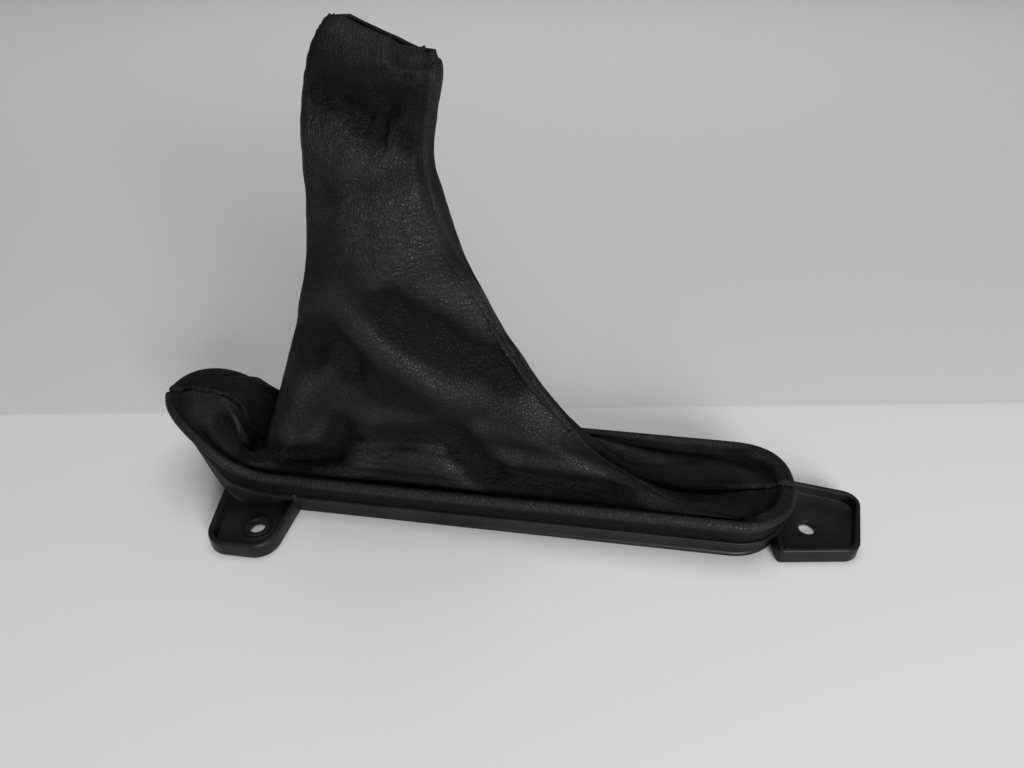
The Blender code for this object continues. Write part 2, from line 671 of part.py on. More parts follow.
def leather_panel(name, side, surface, inner, collection, mat):
    """One panel of the gaiter: a closed skin between its outer and inner face."""
    count = len(stations())
    total = surface.shape[1]
    columns = range(count) if side == NEAR else [i % total for i in range(count - 1, total + 1)]
    outer_face = surface[:, list(columns)].copy()
    inner_face = inner[:, list(columns)].copy()
    for edge in (0, -1):
        outer_face[:, edge, 1] += side * SEAM_GAP / 2
        inner_face[:, edge, 1] = outer_face[:, edge, 1]
    rows, width = outer_face.shape[:2]
    shell = np.concatenate([outer_face, inner_face[:, ::-1]], axis=1)
    points = shell.reshape(-1, 3)
    faces = grid_faces(rows, 2 * width, False, True)
    last = (rows - 1) * 2 * width
    for j in range(width - 1):
        opposite = 2 * width - 1 - j
        faces.append((j, opposite, opposite - 1, j + 1))
        faces.append((last + j, last + j + 1, last + opposite - 1, last + opposite))
    mesh = mesh_from(name, points, faces)
    mesh.shade_smooth()
    return add_object(name, mesh, collection, mat)


def build():
    """Clear the scene and make the part."""
    for obj in list(bpy.data.objects):
        bpy.data.objects.remove(obj)
    part = bpy.data.collections.new(COLLECTION)
    cutters = bpy.data.collections.new("cutters")
    for collection in (part, cutters):
        bpy.context.scene.collection.children.link(collection)
    plastic = material("black_plastic", (0.022, 0.022, 0.024), 0.5)
    leather = material("black_leatherette", (0.02, 0.02, 0.021), 0.45)

    frame = add_object("base_frame", frame_ring(), part)
    side_hole = (SIDE_TRAY_START + SIDE_HOLE_FROM_START, -SIDE_HOLE_FROM_CENTRE)
    end_hole = (RIM_LENGTH + END_HOLE_FROM_RIM, -END_HOLE_FROM_CENTRE)
    add_tray(frame, "side", side_hole, cutters)
    add_tray(frame, "end", end_hole, cutters)
    frame.data.materials.clear()
    frame.data.materials.append(plastic)

    surface = gaiter_surface()
    inner = surface - surface_normals(surface) * LEATHER
    leather_panel("gaiter_near_panel", NEAR, surface, inner, part, leather)
    leather_panel("gaiter_far_panel", FAR, surface, inner, part, leather)


build()
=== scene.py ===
"""Dressed model of a sewn lever gaiter on its moulded base frame.

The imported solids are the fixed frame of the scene. Every class below makes one sub-assembly in
millimetres, in the frame's own drawing position: X from the nose tip to the other end, Y = 0 on the
centre plane with the near side at minus Y, and Z up from the face that the trim is screwed down on.
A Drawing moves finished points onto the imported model.
"""
import logging
import math
import random
from dataclasses import dataclass, field
from enum import Enum
from typing import Optional, Sequence

import bmesh
import bpy
import numpy as np
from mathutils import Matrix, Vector, noise


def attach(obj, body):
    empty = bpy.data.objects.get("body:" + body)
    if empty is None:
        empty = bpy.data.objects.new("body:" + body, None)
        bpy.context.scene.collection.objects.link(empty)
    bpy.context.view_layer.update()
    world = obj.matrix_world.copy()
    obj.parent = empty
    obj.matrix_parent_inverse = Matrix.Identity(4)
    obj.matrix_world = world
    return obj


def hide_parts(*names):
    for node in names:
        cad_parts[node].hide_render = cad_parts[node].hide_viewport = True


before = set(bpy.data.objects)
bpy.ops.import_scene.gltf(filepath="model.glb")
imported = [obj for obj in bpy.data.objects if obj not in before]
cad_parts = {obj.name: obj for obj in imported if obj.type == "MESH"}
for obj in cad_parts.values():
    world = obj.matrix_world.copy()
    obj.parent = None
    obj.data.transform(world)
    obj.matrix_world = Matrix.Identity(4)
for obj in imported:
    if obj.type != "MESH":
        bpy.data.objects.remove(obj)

LOG = logging.getLogger("lever_gaiter_trim")
# One millimetre, and the distance within which points are joined, both in metres.
METRE = 0.001
MERGE_DISTANCE = 0.000002
# How strongly the spacing of its points shapes a curve, and a length that counts as none.
CHORD_POWER = 0.8
TINY = 1e-6
# Half the share of a stretch of the rim over which its climb is measured.
TURN_STEP = 0.01
# Where the arc round the bead begins, in degrees from straight outwards.
BEAD_START = -35.0
# Control points of the upswept end, as shares of its length and its rise.
SWEEP_KNEE = 0.6
SWEEP_LEAN = 0.96
SWEEP_SHARE = 0.86

Point2 = tuple[float, float]
Point3 = tuple[float, float, float]
Colour = tuple[float, float, float, float]
Grid = tuple[np.ndarray, list[tuple[int, ...]]]


class Side(Enum):
    """The two long sides of the trim."""

    NEAR = -1.0
    FAR = 1.0


class Zone(Enum):
    """The three stretches of one side of the rim."""

    NOSE = "nose"
    STRAIGHT = "straight"
    ROUND = "round end"


class Seen(Enum):
    """The plane in which a fold is drawn, as the numbers of its two axes."""

    FROM_SIDE = (0, 2)
    FROM_ABOVE = (0, 1)


@dataclass(frozen=True)
class Station:
    """A place along one side of the rim."""

    side: Side
    zone: Zone
    turn: float


def cubic_curve(points: Sequence[Point2], count: int = 80) -> np.ndarray:
    """Sample a cubic curve.

    Args:
        points: The four control points.
        count: How many samples to take.

    Returns:
        The samples as an array of rows.
    """
    p = np.array(points, dtype=float)
    t = np.linspace(0.0, 1.0, count)[:, None]
    return ((1 - t) ** 3 * p[0] + 3 * t * (1 - t) ** 2 * p[1]
            + 3 * t * t * (1 - t) * p[2] + t ** 3 * p[3])


def through(points: np.ndarray, steps: Sequence[tuple[int, float]]) -> np.ndarray:
    """Follow a smooth curve through points that may be unevenly spaced.

    Args:
        points: The points to pass through, first axis along the curve.
        steps: For each sample the index of the point before it and the share of the way to the next.

    Returns:
        The samples, first axis along the curve.
    """
    chords = np.linalg.norm(np.diff(points, axis=0), axis=-1, keepdims=True) ** CHORD_POWER + TINY
    slopes = np.diff(points, axis=0) / chords
    inner = (slopes[:-1] * chords[1:] + slopes[1:] * chords[:-1]) / (chords[:-1] + chords[1:])
    velocity = np.concatenate([slopes[:1], inner, slopes[-1:]])
    samples = []
    for index, t in steps:
        gap = chords[index]
        samples.append((2 * t ** 3 - 3 * t ** 2 + 1) * points[index]
                       + (t ** 3 - 2 * t ** 2 + t) * gap * velocity[index]
                       + (3 * t ** 2 - 2 * t ** 3) * points[index + 1]
                       + (t ** 3 - t ** 2) * gap * velocity[index + 1])
    return np.array(samples)


def smooth_step(value: np.ndarray) -> np.ndarray:
    """Ease a value from 0 to 1 with level ends."""
    clipped = np.clip(value, 0.0, 1.0)
    return clipped * clipped * (3 - 2 * clipped)


def near_path(points: np.ndarray, path: Sequence[Sequence[float]]) -> tuple[np.ndarray, np.ndarray]:
    """Measure how points lie to a drawn line.

    Args:
        points: The points, with their coordinates on the last axis.
        path: The corners of the line.

    Returns:
        Each point's distance from the line, and the share of the line's length at its nearest place.
    """
    line = np.array(path, dtype=float)
    lengths = np.linalg.norm(np.diff(line, axis=0), axis=1)
    starts = np.concatenate([[0.0], np.cumsum(lengths)[:-1]])
    away = np.full(points.shape[:-1], np.inf)
    along = np.zeros(points.shape[:-1])
    for a, b, length, start in zip(line[:-1], line[1:], lengths, starts):
        t = np.clip(((points - a) @ (b - a)) / length ** 2, 0.0, 1.0)
        distance = np.linalg.norm(points - a - t[..., None] * (b - a), axis=-1)
        closer = distance < away
        away = np.where(closer, distance, away)
        along = np.where(closer, start + t * length, along)
    return away, along / lengths.sum()


@dataclass(frozen=True)
class Rim:
    """Outline and sweep of the rim, over which the leather is wrapped."""

    length: float = 229.0
    half_width: float = 22.0
    height: float = 18.2
    nose_length: float = 29.0
    round_length: float = 22.0
    nose_fullness: tuple[float, float] = (1.6, 2.5)
    round_fullness: tuple[float, float] = (2.0, 2.7)
    nose_rise: float = 18.0
    sweep_start: float = 45.0
    nose_wall: float = 7.0
    foot_sweep_start: float = 32.0
    leather: float = 0.8
    clearance: float = 0.3
    bead_radius: float = 0.7
    wall: float = 1.8
    bead_overhang: float = 2.3
    flare: float = 3.2
    ledge_height: float = 8.0
    ledge_width: float = 1.8
    ledge_thickness: float = 1.6
    ledge_fall: float = 0.15
    straight_spacing: float = 1.12

    @property
    def bead_reach(self) -> float:
        """Reach of the bead's middle from the centre plane."""
        return self.half_width - self.leather - self.clearance - self.bead_radius

    @property
    def bead_height(self) -> float:
        """Height of the bead's middle."""
        return self.height - self.leather - self.clearance - self.bead_radius

    @property
    def wall_reach(self) -> float:
        """Reach of the wall's outer face above the ledge."""
        return self.bead_reach + self.bead_radius - self.bead_overhang

    @property
    def bead_zone(self) -> float:
        """How far below the bead's middle the flared shape of the wall begins."""
        return self.flare + self.bead_radius

    @staticmethod
    def sweep(x: float, start: float, low: float, high: float) -> float:
        """Height at x of a line that is level at low and rises to high at the nose tip.

        Args:
            x: Distance from the nose tip.
            start: Where the line leaves the level.
            low: The level height.
            high: The height at the tip.

        Returns:
            The height.
        """
        knee = SWEEP_KNEE * start
        curve = cubic_curve([(start, low), (knee, low),
                             (SWEEP_LEAN * knee, low + SWEEP_SHARE * (high - low)), (0.0, high)])
        return float(np.interp(x, curve[::-1, 0], curve[::-1, 1]))

    def top(self, x: float) -> float:
        """Height of the leather over the bead."""
        return self.sweep(x, self.sweep_start, self.height, self.height + self.nose_rise)

    def foot(self, x: float) -> float:
        """Height of the lower edge of the wall."""
        return self.sweep(x, self.foot_sweep_start, 0.0, self.height + self.nose_rise - self.nose_wall)

    def plan(self, station: Station, reach: float) -> Point2:
        """Plan position on the outline whose straight sides lie at reach from the centre plane.

        Args:
            station: Where along the rim.
            reach: Distance of the straight sides from the centre plane.

        Returns:
            The x and y of the point.
        """
        side = station.side.value
        which = 0 if station.side is Side.NEAR else 1
        inset = self.half_width - reach
        nose_end, round_start = self.nose_length, self.length - self.round_length
        if station.zone is Zone.STRAIGHT:
            return nose_end + (round_start - nose_end) * station.turn, side * reach
        angle = station.turn * math.pi / 2
        cos, sin = max(0.0, math.cos(angle)), max(0.0, math.sin(angle))
        if station.zone is Zone.NOSE:
            power = 2.0 / self.nose_fullness[which]
            return nose_end - (self.nose_length - inset) * cos ** power, side * reach * sin ** power
        power = 2.0 / self.round_fullness[which]
        return round_start + (self.round_length - inset) * sin ** power, side * reach * cos ** power

    def stretch(self, station: Station) -> float:
        """How much taller an upright section of the bead is where the rim climbs.

        Args:
            station: Where along the rim.

        Returns:
            The factor, which is 1 where the rim is level.
        """
        low, high = max(0.0, station.turn - TURN_STEP), min(1.0, station.turn + TURN_STEP)
        a, b = (self.plan(Station(station.side, station.zone, turn), self.half_width)
                for turn in (low, high))
        run = math.dist(a, b)
        return math.hypot(self.top(b[0]) - self.top(a[0]), run) / run

    def wall_points(self, station: Station, profile: Sequence[Point2]) -> list[Point3]:
        """Place a section of the wall at a station of the rim.

        Args:
            station: Where along the rim.
            profile: Reach and height of each point of the section.

        Returns:
            The section's points in space.
        """
        outline_x = self.plan(station, self.half_width)[0]
        foot = self.foot(outline_x)
        centre = self.top(outline_x) - (self.height - self.bead_height)
        stretch = self.stretch(station)
        neck = self.bead_height - self.bead_zone
        placed = []
        for reach, height in profile:
            x, y = self.plan(station, reach)
            if height >= neck:
                z = centre + (height - self.bead_height) * stretch
            else:
                z = foot + (centre - self.bead_zone * stretch - foot) * height / neck
            placed.append((x, y, z))
        return placed

    def bead_arc(self, radius: float, last: float, steps: int) -> list[Point2]:
        """Draw an arc about the bead's middle, from just below its outer face upwards.

        Args:
            radius: Distance from the bead's middle.
            last: Where the arc ends, in degrees from straight outwards.
            steps: Steps along the arc.

        Returns:
            Reach and height of each point, one more than the steps.
        """
        start, end = math.radians(BEAD_START), math.radians(last)
        angles = [start + (end - start) * i / steps for i in range(steps + 1)]
        return [(self.bead_reach + radius * math.cos(angle), self.bead_height + radius * math.sin(angle))
                for angle in angles]

    def run(self, side: Side, nose: int, straight: int, around: int) -> list[Station]:
        """Stations along one side from the nose tip to the tip of the round end.

        Args:
            side: Which side.
            nose: Steps round the nose.
            straight: Steps along the straight side.
            around: Steps round the round end.

        Returns:
            The stations in order, one more than the steps.
        """
        stations = [Station(side, Zone.NOSE, i / nose) for i in range(nose)]
        stations += [Station(side, Zone.STRAIGHT, (i / straight) ** self.straight_spacing)
                     for i in range(straight)]
        return stations + [Station(side, Zone.ROUND, i / around) for i in range(around + 1)]


@dataclass(frozen=True)
class Drawing:
    """Moves points from the drawing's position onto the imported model."""

    end_x: float = 255.0
    near_y: float = -43.0
    far_y: float = 22.0

    def placed(self, points: np.ndarray) -> np.ndarray:
        """Turn points in millimetres into metres in the model's own frame."""
        centre = np.array([self.end_x / 2, (self.near_y + self.far_y) / 2, 0.0])
        return (np.asarray(points, dtype=float) - centre) * METRE

    def mesh(self, name: str, points: np.ndarray, faces: Sequence[Sequence[int]],
             merge: bool = False) -> bpy.types.Mesh:
        """Make a smooth mesh of placed points, with its faces turned outwards.

        Args:
            name: The mesh's name.
            points: Points in millimetres.
            faces: Corner indices of each face.
            merge: Whether points in the same place are joined.

        Returns:
            The mesh.
        """
        mesh = bpy.data.meshes.new(name)
        mesh.from_pydata([tuple(p) for p in self.placed(points)], [], faces)
        bm = bmesh.new()
        bm.from_mesh(mesh)
        if merge:
            bmesh.ops.remove_doubles(bm, verts=bm.verts, dist=MERGE_DISTANCE)
        bmesh.ops.recalc_face_normals(bm, faces=bm.faces)
        bm.to_mesh(mesh)
        bm.free()
        mesh.shade_smooth()
        return mesh


DRAWING = Drawing()


def grid_faces(rows: int, columns: int, wrap_rows: bool, wrap_columns: bool) -> list[tuple[int, ...]]:
    """Corner indices of the quads of a grid that is numbered row by row.

    Args:
        rows: Number of rows.
        columns: Number of points in a row.
        wrap_rows: Whether the last row joins the first.
        wrap_columns: Whether each row closes on itself.

    Returns:
        One tuple of four indices for each quad.
    """
    faces = []
    for i in range(rows if wrap_rows else rows - 1):
        for j in range(columns if wrap_columns else columns - 1):
            below, beside = (i + 1) % rows, (j + 1) % columns
            faces.append((i * columns + j, i * columns + beside, below * columns + beside,
                          below * columns + j))
    return faces


def add_piece(name: str, mesh: bpy.types.Mesh, finish: bpy.types.Material) -> bpy.types.Object:
    """Put a mesh in the scene as a named piece with its finish.

    Args:
        name: The piece's name.
        mesh: Its mesh.
        finish: Its material.

    Returns:
        The piece's object.
    """
    obj = bpy.data.objects.new(name, mesh)
    bpy.context.scene.collection.objects.link(obj)
    mesh.materials.clear()
    mesh.materials.append(finish)
    return obj


class NodeGraph:
    """A material's node tree, with short calls for adding and joining nodes."""

    def __init__(self, name: str) -> None:
        """Make a material of the given name with an empty tree.

        Args:
            name: The material's name.
        """
        self.material = bpy.data.materials.new(name)
        self.material.use_nodes = True
        self.tree = self.material.node_tree
        self.tree.nodes.clear()

    def add(self, kind: str, settings: Optional[dict[str, object]] = None,
            **sockets: object) -> bpy.types.Node:
        """Add a node.

        Args:
            kind: The node's type without its ShaderNode prefix.
            settings: Properties of the node itself.
            **sockets: Values or output sockets for the inputs, with _ for a space in their names.

        Returns:
            The node.
        """
        node = self.tree.nodes.new("ShaderNode" + kind)
        for key, value in (settings or {}).items():
            setattr(node, key, value)
        for key, value in sockets.items():
            self.feed(node, key.replace("_", " "), value)
        return node

    def feed(self, node: bpy.types.Node, key: str | int, value: object) -> None:
        """Set or link one input of a node.

        Args:
            node: The node.
            key: The input's name or number.
            value: A constant, or the output that feeds the input.
        """
        if isinstance(value, bpy.types.NodeSocket):
            self.tree.links.new(value, node.inputs[key])
        else:
            node.inputs[key].default_value = value

    def math(self, operation: str, first: object, second: object = 0.0) -> bpy.types.NodeSocket:
        """Add a Math node and return its result.

        Args:
            operation: The node's operation.
            first: The first input.
            second: The second input.

        Returns:
            The node's output.
        """
        node = self.add("Math", {"operation": operation})
        self.feed(node, 0, first)
        self.feed(node, 1, second)
        return node.outputs[0]

    def vector(self, operation: str, first: object, second: object) -> bpy.types.NodeSocket:
        """Add a Vector Math node and return its vector.

        Args:
            operation: The node's operation.
            first: The first input.
            second: The second input.

        Returns:
            The node's output.
        """
        node = self.add("VectorMath", {"operation": operation})
        self.feed(node, 0, first)
        self.feed(node, "Scale" if operation == "SCALE" else 1, second)
        return node.outputs[0]

    def noise(self, place: object, scale: float, detail: float, **sockets: float) -> bpy.types.Node:
        """Add a Noise texture."""
        return self.add("TexNoise", Vector=place, Scale=scale, Detail=detail, **sockets)

    def cells(self, place: object, scale: float, edge: float) -> bpy.types.NodeSocket:
        """Add a field of cells, 0 on the lines between them and 1 beyond an edge of the given width."""
        node = self.add("TexVoronoi", {"feature": "DISTANCE_TO_EDGE"}, Vector=place, Scale=scale)
        return self.spread(node.outputs["Distance"], 0.0, edge, 0.0, 1.0)

    def attribute(self, name: str) -> bpy.types.NodeSocket:
        """Read a value that is stored on the mesh."""
        return self.add("Attribute", {"attribute_name": name}).outputs["Fac"]

    def spread(self, value: object, low: float, high: float, to_low: float,
               to_high: float) -> bpy.types.NodeSocket:
        """Map a value smoothly from one range to another.

        Args:
            value: The value.
            low: Where its range begins.
            high: Where its range ends.
            to_low: What the begin becomes.
            to_high: What the end becomes.

        Returns:
            The mapped value.
        """
        node = self.add("MapRange", {"interpolation_type": "SMOOTHSTEP"})
        for index, item in enumerate((value, low, high, to_low, to_high)):
            self.feed(node, index, item)
        return node.outputs[0]

    def mix(self, factor: object, first: object, second: object) -> bpy.types.NodeSocket:
        """Mix two colours.

        Args:
            factor: Share of the second colour.
            first: The first colour.
            second: The second colour.

        Returns:
            The mixed colour.
        """
        node = self.add("Mix", {"data_type": "RGBA"})
        self.feed(node, 0, factor)
        self.feed(node, 6, first)
        self.feed(node, 7, second)
        return node.outputs[2]

    def bump(self, height: object, distance: float, strength: float,
             under: Optional[bpy.types.NodeSocket] = None) -> bpy.types.NodeSocket:
        """Add a bump over another one.

        Args:
            height: The height field.
            distance: How tall the field's full range is, in metres.
            strength: How much of it shows.
            under: The normal that it is laid over.

        Returns:
            The resulting normal.
        """
        node = self.add("Bump", Distance=distance, Strength=strength)
        self.feed(node, "Height", height)
        if under:
            self.feed(node, "Normal", under)
        return node.outputs[0]

    def finish(self, **sockets: object) -> bpy.types.Material:
        """Close the tree with a Principled shader that has the given inputs.

        Args:
            **sockets: Inputs of the shader, with _ for a space in their names.

        Returns:
            The material.
        """
        shader = self.add("BsdfPrincipled")
        for key, value in sockets.items():
            self.feed(shader, key.replace("_", " "), value)
        output = self.add("OutputMaterial")
        self.tree.links.new(shader.outputs[0], output.inputs[0])
        return self.material


@dataclass(frozen=True)
class LeatheretteFinish:
    """Black grained leatherette, rougher in its valleys, its colour darkened there with painted shade and
    greyed on ridges by wear and painted highlight.
    """

    # The dark end carries painted shade, the grey end wear with painted highlight.
    dark: Colour = (0.0006, 0.0006, 0.0012, 1.0)
    worn_and_lit: Colour = (0.0085, 0.0085, 0.0100, 1.0)
    grain_scale: float = 950.0
    grain_edge: float = 0.22
    grain_depth: float = 0.00014
    drift_scale: float = 260.0
    drift_reach: float = 0.0018
    crease_scale: float = 250.0
    crease_edge: float = 0.3
    crease_depth: float = 0.0006
    crease_stretch: Point3 = (0.55, 1.0, 1.9)
    wave_scale: float = 95.0
    wave_depth: float = 0.0005
    pore_scale: float = 3600.0
    pore_depth: float = 0.00002
    groove_roughness: float = 0.54
    grain_roughness: float = 0.4
    valley_roughness: float = 0.3
    specular: float = 0.13

    def material(self) -> bpy.types.Material:
        """Build the finish as a material on Object coordinates.

        Returns:
            The material.
        """
        g = NodeGraph("black leatherette")
        place = g.add("TexCoord").outputs["Object"]
        drift = g.noise(place, self.drift_scale, 2.0).outputs["Color"]
        shift = g.vector("SCALE", g.vector("SUBTRACT", drift, (0.5, 0.5, 0.5)), self.drift_reach)
        moved = g.vector("ADD", place, shift)
        pebble = g.cells(moved, self.grain_scale, self.grain_edge)
        large = g.noise(place, self.wave_scale, 5.0, Roughness=0.62)
        fine = g.noise(place, self.pore_scale, 3.0)
        stretched = g.add("Mapping", Vector=moved, Scale=self.crease_stretch)
        fold = g.cells(stretched.outputs[0], self.crease_scale, self.crease_edge)
        creased = g.math("MULTIPLY", g.math("SUBTRACT", fold, 1.0), g.attribute("crumple"))
        normal = g.bump(large.outputs["Fac"], self.wave_depth, 0.6)
        normal = g.bump(creased, self.crease_depth, 1.0, normal)
        normal = g.bump(pebble, self.grain_depth, 0.9, normal)
        normal = g.bump(fine.outputs["Fac"], self.pore_depth, 0.8, normal)
        # The stored value mixes the colour from painted shade in valleys and dark zones to wear with
        # painted highlight on ridges and lit zones.
        wear_and_painted_light = g.attribute("wear_and_painted_light")
        matt = g.spread(wear_and_painted_light, 0.0, 1.0, self.valley_roughness, 0.0)
        rough = g.spread(pebble, 0.0, 1.0, self.groove_roughness, self.grain_roughness)
        colour = g.mix(wear_and_painted_light, self.dark, self.worn_and_lit)
        return g.finish(Base_Color=colour, Roughness=g.math("ADD", rough, matt), Normal=normal,
                        Specular_IOR_Level=self.specular)


@dataclass(frozen=True)
class MouldedFinish:
    """Black moulded plastic with a fine spark grain."""

    colour: Colour = (0.0062, 0.0064, 0.0074, 1.0)
    handled: Colour = (0.0105, 0.0107, 0.0120, 1.0)
    spark_scale: float = 2600.0
    spark_depth: float = 0.00004
    flow_scale: float = 60.0
    flow_depth: float = 0.0002
    smooth: float = 0.36
    rough: float = 0.48
    specular: float = 0.16

    def material(self) -> bpy.types.Material:
        """Build the finish as a material on Object coordinates.

        Returns:
            The material.
        """
        g = NodeGraph("black moulded plastic")
        place = g.add("TexCoord").outputs["Object"]
        spark = g.noise(place, self.spark_scale, 3.0).outputs["Fac"]
        flow = g.noise(place, self.flow_scale, 4.0).outputs["Fac"]
        normal = g.bump(flow, self.flow_depth, 0.4, g.bump(spark, self.spark_depth, 0.8))
        tone = g.spread(flow, 0.35, 0.7, 0.0, 1.0)
        return g.finish(Base_Color=g.mix(tone, self.colour, self.handled), Normal=normal,
                        Roughness=g.spread(flow, 0.3, 0.7, self.smooth, self.rough),
                        Specular_IOR_Level=self.specular)


@dataclass(frozen=True)
class PaperFinish:
    """Pale paper of the flat floor, painted a darker grey beyond a line behind the trim as the shade of an
    unmodelled backdrop wall, lightening with distance as painted light.
    """

    floor: Colour = (0.63, 0.63, 0.62, 1.0)
    # The backdrop colour is painted shade standing for a wall that is not modelled; the distance colour is
    # painted light on it.
    backdrop_shade: Colour = (0.54, 0.54, 0.54, 1.0)
    distance: Colour = (0.86, 0.86, 0.86, 1.0)
    line_softness: float = 0.0012
    backdrop_light_end: float = 0.9
    roughness: float = 0.85

    def material(self, line_y: float, line_slope: float) -> bpy.types.Material:
        """Build the finish.

        Args:
            line_y: Where the painted backdrop shade begins at x = 0, in metres.
            line_slope: How far the line moves back for each metre along x.

        Returns:
            The material.
        """
        g = NodeGraph("pale paper")
        place = g.add("TexCoord").outputs["Object"]
        split = g.add("SeparateXYZ", Vector=place)
        past = g.math("SUBTRACT", split.outputs["Y"], g.math("MULTIPLY", split.outputs["X"], line_slope))
        beyond = g.spread(past, line_y - self.line_softness, line_y + self.line_softness, 0.0, 1.0)
        away = g.spread(past, line_y, self.backdrop_light_end, 0.0, 1.0)
        # Beyond the line, paint the backdrop's shade, lightening with distance as painted light.
        backdrop_light_and_shade = g.mix(away, self.backdrop_shade, self.distance)
        return g.finish(Base_Color=g.mix(beyond, self.floor, backdrop_light_and_shade), Roughness=self.roughness)


@dataclass(frozen=True)
class Section:
    """One level of the tent, from seam over corner and corner to seam.

    The bulge is outward and the arch upward between the corners. Crown and pinch are the powers with
    which height and depth grow round the nose, and fall and turn_in those along the side. Hang moves
    the right end over to one side.
    """

    left: Point3
    left_corner: Point3
    right_corner: Point3
    right: Point3
    bulge: float = 0.0
    arch: float = 0.0
    crown: float = 1.0
    pinch: float = 1.0
    fall: float = 1.0
    hang: float = 0.0
    turn_in: float = 1.0

    def point(self, station: Station) -> np.ndarray:
        """Point of the section at a station of the rim.

        Args:
            station: Where along the rim.

        Returns:
            The point, in millimetres.
        """
        turn = station.turn
        if station.zone is Zone.STRAIGHT:
            a, b = np.array(self.left_corner), np.array(self.right_corner)
            hump = 4 * turn * (1 - turn)
            point = a + (b - a) * turn
            point[1] = a[1] + (b[1] - a[1]) * turn ** self.turn_in + station.side.value * self.bulge * hump
            point[2] = b[2] + (a[2] - b[2]) * (1 - turn) ** self.fall + self.arch * hump
            return point
        angle = turn * math.pi / 2
        if station.zone is Zone.NOSE:
            tip, corner = np.array(self.left), np.array(self.left_corner)
            out, across, hang = math.cos(angle), math.sin(angle), 0.0
            y_share, z_share = across ** self.pinch, across ** self.crown
        else:
            tip, corner = np.array(self.right), np.array(self.right_corner)
            out, across = math.sin(angle), max(0.0, math.cos(angle))
            hang = self.hang * math.sin(2 * angle) * out
            y_share = z_share = across
        return np.array([corner[0] + (tip[0] - corner[0]) * out + hang,
                         tip[1] + (corner[1] - tip[1]) * y_share,
                         tip[2] + (corner[2] - tip[2]) * z_share])


